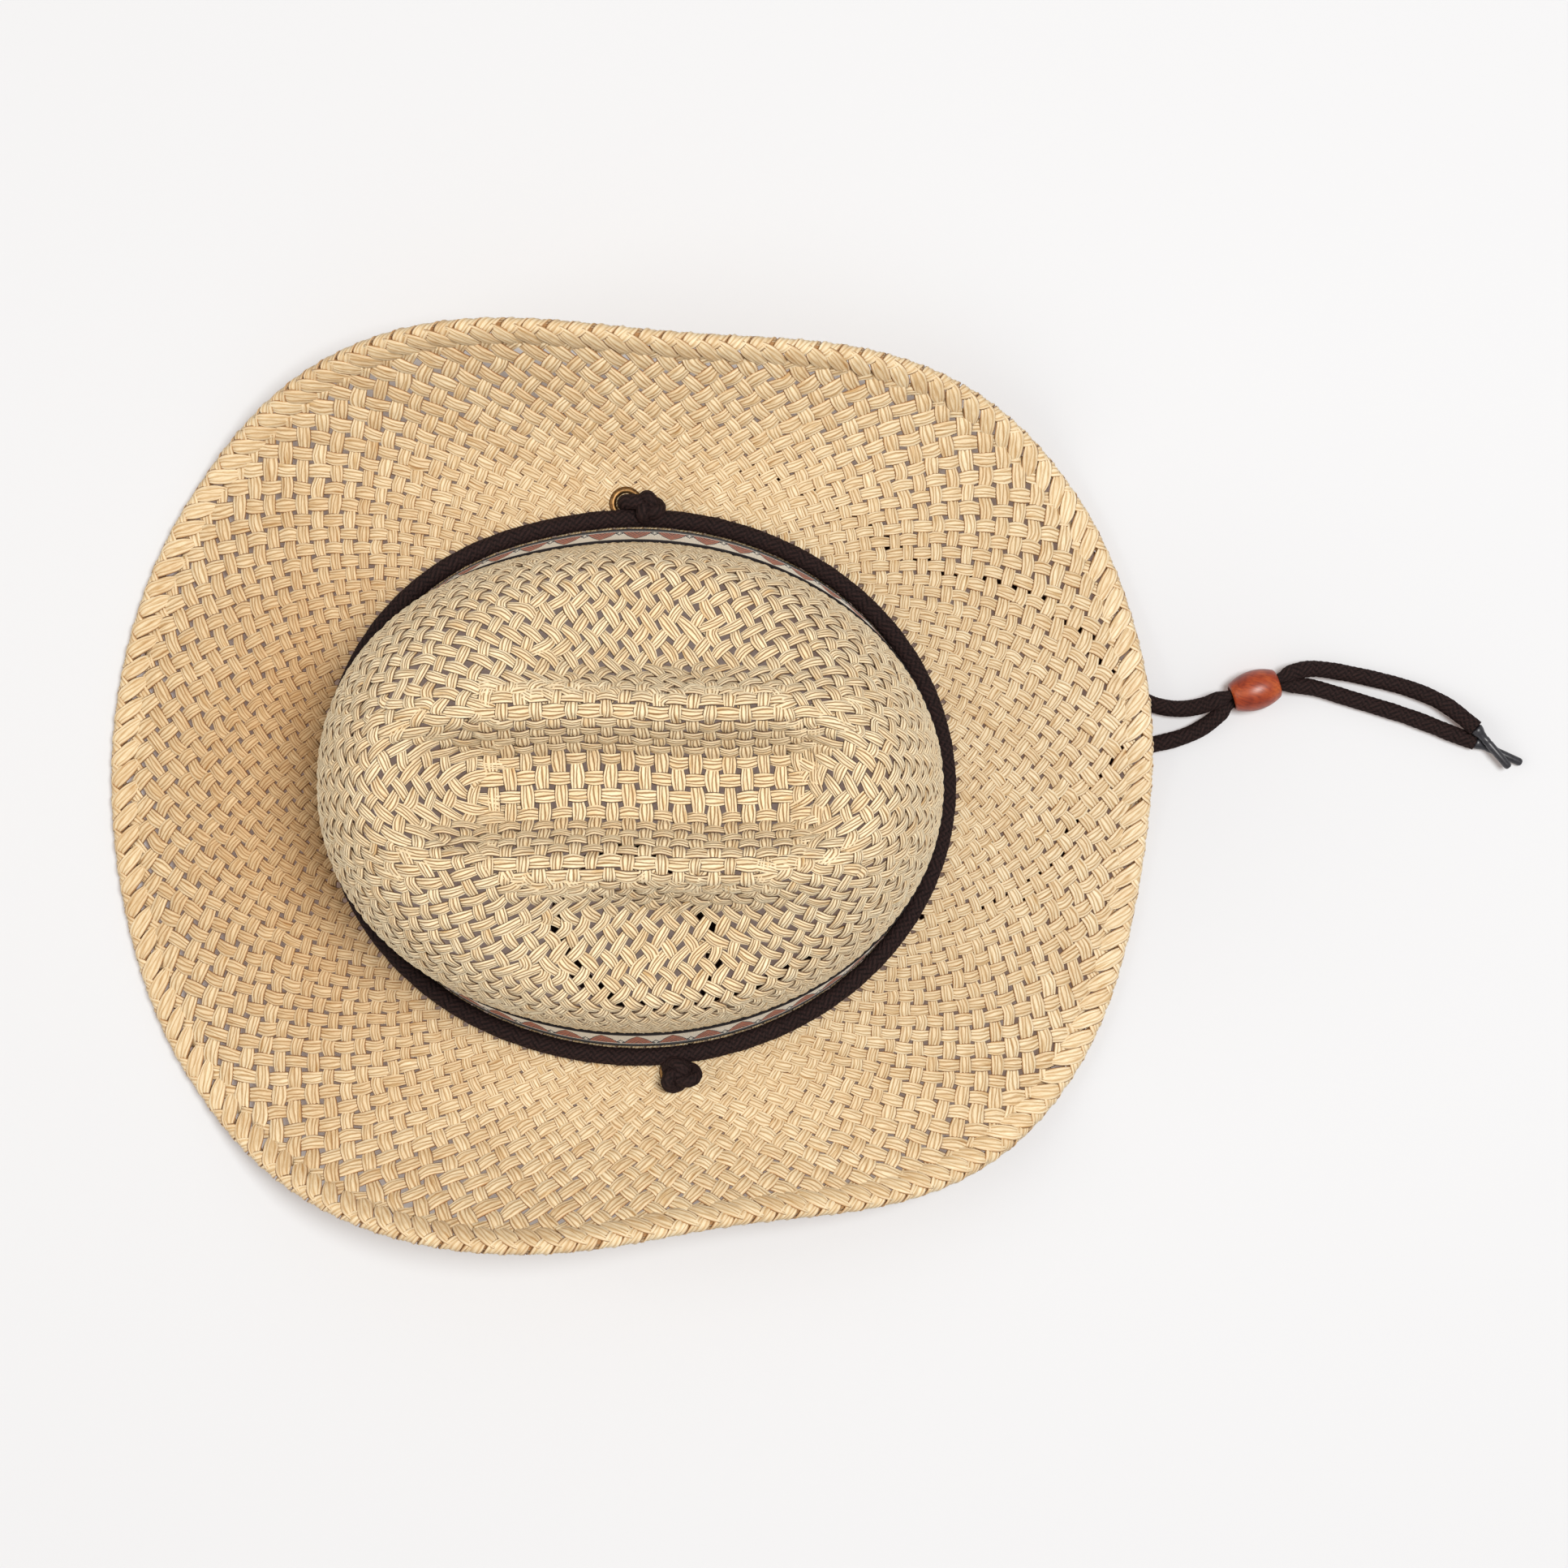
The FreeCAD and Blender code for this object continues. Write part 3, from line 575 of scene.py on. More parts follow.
# ---- meshes ----
def mesh_object(name, vertices, quads, uvs, material, replaces=(), tint=None, body="hat"):
    """An object from arrays: vertices, four-cornered faces, a UV and perhaps a tint for each vertex, which
    for a braided tube is its ridge height, used for painted shade in its hollows.
    """
    corners = np.asarray(quads, dtype=np.int32).ravel()
    mesh = bpy.data.meshes.new(name)
    mesh.vertices.add(len(vertices))
    mesh.vertices.foreach_set("co", np.asarray(vertices, dtype=np.float32).ravel())
    mesh.loops.add(len(corners))
    mesh.loops.foreach_set("vertex_index", corners)
    mesh.polygons.add(len(quads))
    mesh.polygons.foreach_set("loop_start", np.arange(len(quads), dtype=np.int32) * 4)
    mesh.polygons.foreach_set("use_smooth", np.ones(len(quads), dtype=bool))
    layer = mesh.uv_layers.new(name="UVMap")
    layer.data.foreach_set("uv", np.asarray(uvs, dtype=np.float32)[corners].ravel())
    if tint is not None:
        attribute = mesh.attributes.new("tint", "FLOAT", "POINT")
        attribute.data.foreach_set("value", np.asarray(tint, dtype=np.float32))
    mesh.update(calc_edges=True)
    mesh.validate()
    mesh.materials.append(material)
    piece = add_to_scene(name, mesh)
    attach(piece, body)
    material.name.split(".")[0]       # without the number that Blender may add
    if replaces:
        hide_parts(*replaces)
    return piece


def grid_quads(index, rows_close=False, columns_close=True):
    """Faces between neighbours in a grid of vertex numbers, which may close on itself either way."""
    near = index if rows_close else index[:-1]
    far = np.roll(index, -1, axis=0) if rows_close else index[1:]
    corners = (near, np.roll(near, -1, axis=1), np.roll(far, -1, axis=1), far)
    if not columns_close:
        corners = (near[:, :-1], near[:, 1:], far[:, 1:], far[:, :-1])
    return np.stack(corners, axis=-1).reshape(-1, 4)


def end_caps(index):
    """Faces that close both ends of a tube with an even number of sides."""
    sides = index.shape[1]
    caps = []
    for k in range(sides // 2 - 1):
        corners = np.array([k, k + 1, sides - 2 - k, sides - 1 - k])
        caps.append(index[0][corners[::-1]])
        caps.append(index[-1][corners])
    return np.array(caps)


def grid_uvs(across, along, shape):
    """A UV for each point of a grid."""
    return np.stack([np.broadcast_to(across, shape), np.broadcast_to(along, shape)], axis=-1).reshape(-1, 2)


# A strand's section: four strings side by side over a plain underside. Across, then height.
STRING_TOPS = ((-1.0, -0.15), (-0.80, 0.66), (-0.52, 0.40), (-0.26, 1.0), (0.0, 0.58), (0.26, 1.0),
               (0.52, 0.40), (0.80, 0.66), (1.0, -0.15), (0.62, -0.8), (0.0, -0.9), (-0.62, -0.8))
UNMOVED_CORNERS = [0, 8, 9, 10, 11]
STRING_WANDER = 0.11             # how far the strings move sideways, where the half width is 1
STRING_WANDER_LENGTH = 0.013
UV_LENGTH = 0.004                # along a strand or cord, for each unit of its UV


def smooth_through(values, sections):
    """Catmull-Rom curve through rows of values, with that many steps from each to the next."""
    padded = np.vstack([2 * values[0] - values[1], values, 2 * values[-1] - values[-2]])
    t = np.linspace(0, 1, sections, endpoint=False)[:, None]
    out = []
    for k in range(len(values) - 1):
        p0, p1, p2, p3 = padded[k:k + 4]
        out.append(0.5 * (2 * p1 + (p2 - p0) * t + (2 * p0 - 5 * p1 + 4 * p2 - p3) * t ** 2
                          + (3 * p1 - p0 - 3 * p2 + p3) * t ** 3))
    out.append(values[-1:])
    return np.vstack(out)


def strand_arrays(points, normals, sizes, sections):
    """A lobed strand through the points. Each of the sizes is the width and the height at a point."""
    tint = float(RANDOM.random())
    path, facing, sizes = (smooth_through(np.array(rows), sections) for rows in (points, normals, sizes))
    forward = unit(np.gradient(path, axis=0))
    lateral = unit(np.cross(facing, forward))
    normal = np.cross(forward, lateral)
    profile = np.array(STRING_TOPS)
    travelled = travel(path)[:, None]
    phase = travelled * 2 * math.pi / STRING_WANDER_LENGTH + tint * 40 + np.arange(len(profile)) * 1.3
    wander = STRING_WANDER * np.sin(phase)
    wander[:, UNMOVED_CORNERS] = 0
    across = (profile[:, 0][None] + wander) * sizes[:, :1] / 2
    up = profile[:, 1][None] * sizes[:, 1:]
    vertices = path[:, None] + lateral[:, None] * across[..., None] + normal[:, None] * up[..., None]
    index = np.arange(across.size).reshape(across.shape)
    quads = np.vstack([grid_quads(index)[:, [0, 3, 2, 1]], end_caps(index)[:, ::-1]])
    uvs = grid_uvs(profile[:, 0][None], travelled / UV_LENGTH + tint * 91, across.shape)
    return vertices.reshape(-1, 3), quads, uvs, np.full(across.size, tint)


def join_arrays(parts):
    """The arrays of several strands as those of one mesh."""
    starts = np.cumsum([0] + [len(part[0]) for part in parts[:-1]])
    vertices, quads, uvs, tints = zip(*parts)
    quads = [quad + start for quad, start in zip(quads, starts)]
    return np.vstack(vertices), np.vstack(quads), np.vstack(uvs), np.concatenate(tints)


def strand_objects(name, strands, material, node, pieces):
    """The strands as a few objects of one material, so that none is very large."""
    share = math.ceil(len(strands) / pieces)
    for k in range(pieces):
        vertices, quads, uvs, tints = join_arrays(strands[k * share:(k + 1) * share])
        mesh_object(f"{name}_{k + 1}", vertices, quads, uvs, material, () if k else (node,), tints)


# ---- weaving ----
WEAVE_SECTIONS = 4
CROWN_SPACING = 0.0074           # from one crossing to the next round the crown
CROWN_END_SPREAD = 0.13          # how much wider apart they are at its ends than on average
CROWN_DROP = 8                   # how many strands are dropped at a time towards the top
BRIM_COUNT = 118                 # crossings in each row round the brim
CROWN_SHARE = 0.71               # of the pitch, the rest is the hole
# The brim's strands fill more of the pitch near the crown: spacings, and the share at each.
BRIM_SPACINGS = (0.0052, 0.0058, 0.0085)
BRIM_SHARES = (0.99, 0.88, 0.82)
STRAND_HEIGHT = 0.00074
OVER_UNDER = 0.00070
TUCK = -2.2 * OVER_UNDER         # where a spare end goes
ON_TOP_SPREAD = 1.08             # a strand is wider on top of a crossing than below it
BELOW_SPREAD = 0.80
NODE_JITTER = 0.105              # of the spacing
WIDTH_JITTER = 0.12              # of a strand's width
PATCH_JITTER = 0.00034


def weave_rows(surface, start, end, count_for, end_spread=0.0):
    """Rows of crossings. Each row is half a spacing beyond the last and shifted by half a spacing."""
    rows = []
    t = start
    while t < end:
        ring = Ring(surface, t)
        count = count_for(ring.length, rows[-1]["count"] if rows else None)
        spacing = ring.length / count
        phase = 0.5 * (len(rows) % 2)
        jitter = RANDOM.uniform(-NODE_JITTER, NODE_JITTER, count)
        share = (np.arange(count) + phase + jitter) / count
        points, normals = ring.at(share + end_spread * np.sin(4 * math.pi * share) / (4 * math.pi))
        points = points - normals * STRAW / 2
        rows.append({"count": count, "phase": phase, "points": points, "normals": normals,
                     "spacing": spacing})
        t += 0.5 * spacing / ring.speed
    return rows


def strand_share(spacing, tight_root):
    """The share of the pitch that a strand fills."""
    if not tight_root:
        return CROWN_SHARE
    return float(np.interp(spacing, BRIM_SPACINGS, BRIM_SHARES))


def trace_strands(rows, family, covered):
    """The crossings on each strand's way, as (row, place in it, whether the strand's end tucks in)."""
    count = rows[0]["count"]
    active = [{"share": k / count, "nodes": [(0, k, False)]} for k in range(count)]
    done = []
    for j, row in enumerate(rows[1:], 1):
        taken = set()
        going_on = []
        for strand in active:
            aim = strand["share"] + family * 0.5 / row["count"]
            index = round(aim * row["count"] - row["phase"])
            key = index % row["count"]
            tucked = key in taken or (covered is not None and covered(row["points"][key]))
            strand["share"] = (index + row["phase"]) / row["count"]
            strand["nodes"].append((j, key, tucked))
            if tucked:
                done.append(strand)
            else:
                taken.add(key)
                going_on.append(strand)
        active = going_on
    return [strand["nodes"] for strand in done + active]


def weave_strands(rows, tight_root=False, covered=None):
    """Strands both ways through the crossings. Where there are fewer crossings, spare ends tuck in."""
    strands = []
    for family in (1, -1):
        for nodes in trace_strands(rows, family, covered):
            if len(nodes) < 3:
                continue
            points, normals, sizes = [], [], []
            for j, key, tucked in nodes:
                row = rows[j]
                over = family if j % 2 == 0 else -family
                lift = TUCK if tucked else over * OVER_UNDER
                points.append(row["points"][key] + row["normals"][key] * lift)
                normals.append(row["normals"][key])
                share = strand_share(row["spacing"], tight_root)
                spread = ON_TOP_SPREAD if over > 0 else max(BELOW_SPREAD, share)
                varied = 1 + RANDOM.uniform(-WIDTH_JITTER, WIDTH_JITTER)
                width = row["spacing"] * math.sqrt(0.5) * share * spread * varied
                sizes.append((width, STRAND_HEIGHT * RANDOM.uniform(0.92, 1.08)))
            strands.append(strand_arrays(points, normals, sizes, WEAVE_SECTIONS))
    return strands


PATCH_PITCH = 0.0054
PATCH_SHARE = 0.79
PATCH_HALF_WIDTH = 0.0325
PATCH_HALF_LENGTH = 0.0530
PATCH_CENTRE_Y = -0.0095
PATCH_COVER = 0.88               # the share of the patch under which the other strands end
PATCH_TUCK = -2.0 * OVER_UNDER


def patch_level(x, y):
    """Below 1 inside the patch, whose edge wavers."""
    across = x / PATCH_HALF_WIDTH
    along = (y - PATCH_CENTRE_Y) / PATCH_HALF_LENGTH
    turn = np.arctan2(across, along)
    waver = 1 + 0.035 * np.sin(9 * turn + 1.0) + 0.030 * np.sin(17 * turn + 0.4)
    return (across ** 6 + along ** 6) ** (1 / 6) / waver


def patch_columns():
    """The places across the patch of the strands along it, evenly spaced over the creased top."""
    fine = np.linspace(0, PATCH_HALF_WIDTH + PATCH_PITCH, 240)
    drop = crown_top_height(fine, np.full_like(fine, CROWN_CENTRE_Y))
    travelled = np.concatenate([[0.0], np.cumsum(np.hypot(np.diff(fine), np.diff(drop)))])
    half_count = round(travelled[-1] / PATCH_PITCH)
    pitch = travelled[-1] / half_count
    half = np.interp((np.arange(half_count) + 0.5) * pitch, travelled, fine)
    return np.concatenate([-half[::-1], half]), pitch


def make_patch_strands():
    """The square weave over the crease and its two ridges, where the weaving of the hat began."""
    columns, pitch = patch_columns()
    row_reach = PATCH_PITCH * math.ceil(PATCH_HALF_LENGTH / PATCH_PITCH)
    rows = PATCH_CENTRE_Y + np.arange(-row_reach, row_reach + PATCH_PITCH / 2, PATCH_PITCH)
    x, y = np.meshgrid(columns, rows, indexing="ij")
    x = x + RANDOM.uniform(-1, 1, x.shape) * PATCH_JITTER + 0.0007 * np.sin(y / 0.013 + 1)
    y = y + RANDOM.uniform(-1, 1, x.shape) * PATCH_JITTER + 0.0006 * np.sin(x / 0.011)
    step = 1e-4
    slope_x = (crown_top_height(x + step, y) - crown_top_height(x - step, y)) / (2 * step)
    slope_y = (crown_top_height(x, y + step) - crown_top_height(x, y - step)) / (2 * step)
    normals = unit(np.stack([-slope_x, -slope_y, np.ones_like(x)], axis=-1))
    points = np.stack([x, y, crown_top_height(x, y)], axis=-1) - normals * STRAW / 2
    inside = patch_level(x, y) < 1
    strands = []
    for side, width in ((1, pitch), (-1, PATCH_PITCH)):
        for lane, (line, facing) in enumerate(zip(points, normals)):
            kept = np.flatnonzero(inside[lane])
            if len(kept) < 3:
                continue
            places = np.arange(max(0, kept[0] - 1), min(len(line), kept[-1] + 2))
            signs = np.where((lane + places) % 2 == 0, side, -side)
            lifts = signs * OVER_UNDER
            lifts[[0, -1]] = PATCH_TUCK
            widths = width * PATCH_SHARE * np.where(signs > 0, ON_TOP_SPREAD, BELOW_SPREAD)
            widths = widths * (1 + RANDOM.uniform(-WIDTH_JITTER, WIDTH_JITTER, len(signs)))
            sizes = np.stack([widths, np.full(len(signs), STRAND_HEIGHT)], axis=1)
            facing = facing[places]
            line = line[places] + facing * lifts[:, None]
            strands.append(strand_arrays(line, facing, sizes, WEAVE_SECTIONS))
        points, normals, inside = (grid.swapaxes(0, 1) for grid in (points, normals, inside))
    return strands


def under_patch(point):
    """Whether the square weave of the top covers this crossing."""
    return patch_level(point[0], point[1]) < PATCH_COVER and point[2] > BRIM_TOP + 0.5 * CROWN_HEIGHT


def crown_count(length, last):
    """Crossings in a row of the crown, which get fewer towards the top in even drops."""
    count = CROWN_DROP * max(2, round(length / CROWN_SPACING / CROWN_DROP))
    return count if last is None else min(last, count)


def make_crown(material):
    rows = weave_rows(even_crown_point, 0.004, 0.985, crown_count, CROWN_END_SPREAD)
    strands = weave_strands(rows, covered=under_patch) + make_patch_strands()
    strand_objects("crown_weave", strands, material, "straw_crown", 4)


def make_brim(material):
    rows = weave_rows(root_and_brim_point, -0.75, 0.992, lambda length, last: BRIM_COUNT)
    strands = weave_strands(rows, tight_root=True)
    strand_objects("brim_weave", strands, material, "straw_brim", 5)


# ---- the rim ----
LEAF_PITCH = 0.0076
LEAF_WIDTH = 0.0057
LEAF_LEAN = 0.0100               # how far a leaf runs along the rim from its start to its end
LEAF_HEIGHT = 0.00066
LEAF_SECTIONS = 3
RIM_CORE_RADIUS = 0.0015
LEAF_JITTER = 0.06               # of the pitch
LAY_TILT = 40.0                  # how much the leaves over the brim lean out, for each metre outward
# Leaves that wrap the edge: turn from straight up in degrees, positive towards the crown, and reach
# from the core in millimetres.
WRAP_TURNS = (-250, -205, -150, -100, -50, -5, 32)
WRAP_REACHES = (1.5, 1.8, 1.9, 1.9, 2.0, 2.0, 1.6)
# Leaves that lie over the brim: outward and up from the core.
LAYS = ((0.0012, 0.0016), (-0.0006, 0.0026), (-0.0030, 0.0021), (-0.0054, 0.0013), (-0.0076, 0.0001))


def make_rim(material):
    """The plaited rim: leaves that wrap the edge, and leaves that lie back over the brim."""
    ring = Ring(brim_point, 1.0)
    count = round(ring.length / LEAF_PITCH)
    wraps = []
    for turn, reach in zip(np.radians(WRAP_TURNS), WRAP_REACHES):
        wraps.append((-math.sin(turn) * reach * MM, math.cos(turn) * reach * MM))
    kinds = ((wraps, LEAF_LEAN, LEAF_WIDTH, 0.0), (LAYS, -LEAF_LEAN, LEAF_WIDTH * 0.95, 0.5))
    strands = []
    for k in range(count):
        for section, lean, width, start in kinds:
            points, normals = [], []
            steps = np.linspace(0, 1, len(section))
            shift = RANDOM.uniform(-LEAF_JITTER, LEAF_JITTER)
            for share, (out, up) in zip(steps, section):
                place = (k + start + shift) * ring.length / count + lean * (share - 1 if lean > 0 else share)
                centre, normal = ring.at(np.array(place / ring.length))
                ahead, _ = ring.at(np.array((place + 0.001) / ring.length))
                outward = np.cross(unit(ahead - centre), normal)
                core = centre - normal * STRAW / 2
                points.append(core + outward * out + normal * up)
                wrapping = section is wraps
                normals.append(outward * out + normal * up if wrapping else normal + outward * out * LAY_TILT)
            widths = width * np.interp(steps, [0, 0.2, 0.5, 0.85, 1], [0.5, 0.95, 1.05, 0.9, 0.45])
            heights = LEAF_HEIGHT * np.interp(steps, [0, 0.3, 0.7, 1], [0.6, 1, 1.1, 0.6])
            sizes = np.stack([widths, heights], axis=1)
            strands.append(strand_arrays(points, unit(np.array(normals)), sizes, LEAF_SECTIONS))
    strand_objects("rim_braid", strands, material, "brim_edge_braid", 2)
    centres, normals = ring.at(np.linspace(0, 1, 720, endpoint=False))
    relief_tube("rim_core", centres - normals * STRAW / 2, lambda s: RIM_CORE_RADIUS, material,
                closed=True, cells=3, cell_length=0.006, depth=0.08)


# ---- cords ----
def nurbs_line(points):
    """The smooth line that has these points as its control points, as a list of places."""
    curve = bpy.data.curves.new("line", "CURVE")
    curve.dimensions = "3D"
    curve.resolution_u = 12
    spline = curve.splines.new("NURBS")
    spline.points.add(len(points) - 1)
    for control, point in zip(spline.points, points):
        control.co = (*point, 1.0)
    spline.order_u = 3
    spline.use_endpoint_u = True
    carrier = bpy.data.objects.new("line", curve)
    mesh = bpy.data.meshes.new_from_object(carrier)
    line = np.array([tuple(v.co) for v in mesh.vertices])
    bpy.data.objects.remove(carrier)
    bpy.data.meshes.remove(mesh)
    bpy.data.curves.remove(curve)
    return line


TUBE_STEP = 0.00055              # between the rings of a cord's mesh
SWELL = 0.022                    # how far a cord's thickness varies, and the lengths it varies over
SWELL_LENGTHS = (0.0019, 0.0131)


def even_line(line, step, closed=False):
    """The same line with its points evenly spaced, how far along each is, and the line's length."""
    if closed:
        line = np.vstack([line, line[:1]])
    travelled = travel(line)
    length = float(travelled[-1])
    wanted = np.linspace(0, length, max(4, round(length / step)) + 1)
    even = interpolate(wanted, travelled, line)
    if closed:
        return even[:-1], wanted[:-1], length
    return even, wanted, length


def carried_sides(line, closed):
    """Directions across a line that turn with it as little as they can."""
    if closed:
        forward = unit(np.roll(line, -1, axis=0) - np.roll(line, 1, axis=0))
        side = unit(np.cross(forward, np.array([0.0, 0.0, 1.0])))
        return side, np.cross(side, forward)
    forward = unit(np.gradient(line, axis=0))
    sides = np.zeros_like(line)
    first = np.cross(forward[0], np.array([0.0, 0.0, 1.0]))
    if np.linalg.norm(first) < 1e-3:
        first = np.cross(forward[0], np.array([0.0, 1.0, 0.0]))
    side = first / np.linalg.norm(first)
    for k, ahead in enumerate(forward):
        side = side - ahead * np.dot(side, ahead)
        side = side / np.linalg.norm(side)
        sides[k] = side
    return sides, np.cross(sides, forward)


def relief_tube(name, line, radius_at, material, replaces=(), closed=False, cells=8, cell_length=0.0024,
                depth=0.20, sides=40):
    """A round cord with a braided surface: strings one way over strings the other, in cells."""
    even, travelled, length = even_line(line, TUBE_STEP, closed)
    side, up = carried_sides(even, closed)
    lengthwise = travelled / cell_length
    if closed:
        lengthwise = travelled / length * round(length / cell_length)
    turn = evenly_round(sides)
    one = turn[None] / (2 * math.pi) * cells + lengthwise[:, None]
    other = turn[None] / (2 * math.pi) * cells - lengthwise[:, None]
    first_on_top = (np.floor(one) + np.floor(other)) % 2 == 0
    ridge = np.where(first_on_top, np.abs(np.sin(math.pi * one)), np.abs(np.sin(math.pi * other)))
    swell = 1 + SWELL * np.sin(travelled / SWELL_LENGTHS[0]) * np.sin(travelled / SWELL_LENGTHS[1] + 1)
    radius = radius_at(travelled) * swell
    radius = radius[:, None] * (1 - depth + depth * ridge ** 0.6)
    vertices = (even[:, None] + side[:, None] * (np.cos(turn)[None] * radius)[..., None]
                + up[:, None] * (np.sin(turn)[None] * radius)[..., None])
    index = np.arange(ridge.size).reshape(ridge.shape)
    quads = grid_quads(index, closed)
    if not closed:
        quads = np.vstack([quads, end_caps(index)])
    uvs = grid_uvs(turn, travelled[:, None] / UV_LENGTH, ridge.shape)
    # Each vertex's tint is its ridge height, from which the materials paint shade in the hollows between the
    # strings.
    return mesh_object(name, vertices.reshape(-1, 3), quads, uvs, material, replaces, ridge.ravel())


def bead_line(along, side):
    """A point on one strand's straight stretch through the bead; side is 1 left, -1 right."""
    across = np.array((-BEAD_DIRECTION[1], BEAD_DIRECTION[0], 0.0))
    return BEAD_CENTRE + BEAD_DIRECTION * along + across * (STRAND_OFFSET * side) + np.array(
        (0.0, 0.0, STRAND_OFFSET * side))


TABLE_HEIGHTS = (2.95, 3.0)      # of a cord's middle where it lies on the table, turn about, in mm


def route(first, on_table, last=()):
    """A cord's points from millimetres: some in space, then some along the table, then some in space."""
    lying = [(x, y, TABLE_HEIGHTS[k % 2]) for k, (x, y) in enumerate(on_table)]
    return [tuple(round(value * MM, 6) for value in point) for point in [*first, *lying, *last]]


# Each chin cord's way from its knot down through its eyelet to the bead, and its tail beyond the bead.
LEFT_ROUTE = route(
    [(97.3, 0.6, 30), (97.3, 0.5, 23.6), (97.9, -1.6, 16.2), (99.6, -6.2, 9.2), (102.4, -13.4, 4.6)],
    [(106.5, -23.7), (110.8, -34.8), (110.2, -47), (104.6, -59.8), (97.3, -72.3), (89.3, -84.2),
     (81.2, -97), (76.2, -110.3), (72, -123.6), (67.2, -137.2), (62, -149.6), (53.6, -159), (42.6, -165.6),
     (34.4, -172.6), (29.2, -181.2)],
    [(27.2, -190.2, 3.6), (28, -198.6, 5.4), (30.8, -205.2, 7.7)])
RIGHT_ROUTE = route(
    [(-97.3, -16.5, 30), (-97.3, -16.6, 23.8), (-95.4, -17.9, 17.2), (-91, -20.2, 12.2),
     (-82.8, -23.4, 9.9), (-71.4, -27.4, 9.9), (-60.4, -29.6, 6.4), (-48.8, -27.8, 3.4)],
    [(-37, -21.8), (-26, -11), (-20.6, 2.6), (-26.4, 17.2), (-40.6, 25.6), (-55.8, 25), (-68.6, 16.4),
     (-75.8, 3.2), (-77.6, -11.4), (-76.4, -26.6), (-71.6, -41.2), (-64.8, -55.4), (-57.6, -69.2),
     (-51, -83.4), (-46.2, -98), (-44.6, -113), (-42.4, -127.6), (-35.8, -140.4), (-24.4, -149.6),
     (-10.6, -155.8), (2.4, -161.4), (11, -169.6), (14.6, -180.2), (16.6, -190.2)],
    [(19.8, -198.4, 3.4), (24.6, -205, 4.7)])
LEFT_TAIL = route(
    [(40.4, -231, 7.3), (41.8, -238, 5.4), (40.6, -247.4, 3.5)],
    [(38.2, -259.2), (35, -271.8)],
    [(30.8, -282.2, 3.5), (26, -289.2, 4.8), (20.6, -295, 6.5)])
RIGHT_TAIL = route(
    [(35.8, -232.2, 4.9), (35, -239.2, 3.7)],
    [(32, -248.8), (28.6, -260), (25.2, -271.2), (21.4, -281.2), (18.2, -288.8), (16, -295.4)])
AGLET_TIPS = {"left": (0.0070, -0.3069, 0.0054), "right": (0.0086, -0.3121, 0.0015)}


def make_chin_cord(side, way, tail, sign, material):
    """A chin cord from its knot to its tip, thin where it lies beside the other in the bead."""
    half = BEAD_LENGTH / 2 + BEAD_LEAD
    controls = [*way, tuple(bead_line(-half, sign)), tuple(bead_line(half, sign)), *tail]
    line = nurbs_line(controls)
    even, travelled, _ = even_line(line, 0.0005)
    in_bead = travelled[int(np.argmin(np.linalg.norm(even - bead_line(0.0, sign), axis=1)))]
    squeezed = BEAD_LENGTH / 2 - 0.0005
    eased = BEAD_LENGTH / 2 + 0.006

    def radius_at(places):
        free = smooth_step(squeezed, eased, np.abs(places - in_bead))
        return NECK_RADIUS + (CORD_DIAMETER / 2 * 1.03 - NECK_RADIUS) * free

    cord = relief_tube("chin_cord_" + side + "_braid", line, radius_at, material, ("chin_cord_" + side,))


def make_band_cord(material):
    """The cord round the crown's foot, set in a little and a little thicker than in CAD."""
    angle = evenly_round(720)
    across, ahead = outline(angle)
    inset = 0.0003
    line = np.stack([(BAND_CORD_HALF_WIDTH - inset) * across,
                     CROWN_CENTRE_Y - (BAND_CORD_HALF_LENGTH - inset) * ahead,
                     np.full_like(angle, BAND_CORD_Z)], axis=1)
    relief_tube("band_cord_braid", line, lambda s: BAND_CORD_RADIUS * 1.07, material, ("band_cord",), True)


KNOTS = {"left": ((0.0951, -0.0078, BRIM_TOP + 0.0066), (0.0128, 0.0112, 0.0112)),
         "right": ((-0.0977, -0.0178, BRIM_TOP + 0.0062), (0.0138, 0.0160, 0.0108))}


def make_knot(side, material):
    """An overhand knot drawn tight beside the band cord, and the stub that goes down its eyelet."""
    centre, size = KNOTS[side]
    strand = 0.0024
    reach = np.array(size) / 2 - strand
    turn = evenly_round(120)
    wide = (np.sin(turn) + 2 * np.sin(2 * turn)) / 3
    tall = (np.cos(turn) - 2 * np.cos(2 * turn)) / 3
    deep = np.sin(3 * turn)
    line = np.stack([centre[0] + reach[0] * wide, centre[1] + reach[1] * tall,
                     centre[2] + reach[2] * deep * 0.8], axis=1)
    relief_tube("cord_knot_" + side + "_lump", line, lambda s: strand, material, ("cord_knot_" + side,),
                closed=True, cells=7, cell_length=0.0021, sides=32)
    x, y = EYELETS[side]
    stub = nurbs_line([(0.6 * centre[0] + 0.4 * x, centre[1], centre[2]),
                       (x, 0.5 * (centre[1] + y), centre[2] + 0.0012), (x, y + 0.0002, centre[2] + 0.0004),
                       (x, y + 0.0001, BRIM_TOP + 0.0020)])
    relief_tube("cord_knot_" + side + "_stub", stub, lambda s: CORD_DIAMETER / 2 * 0.95, material, sides=32)


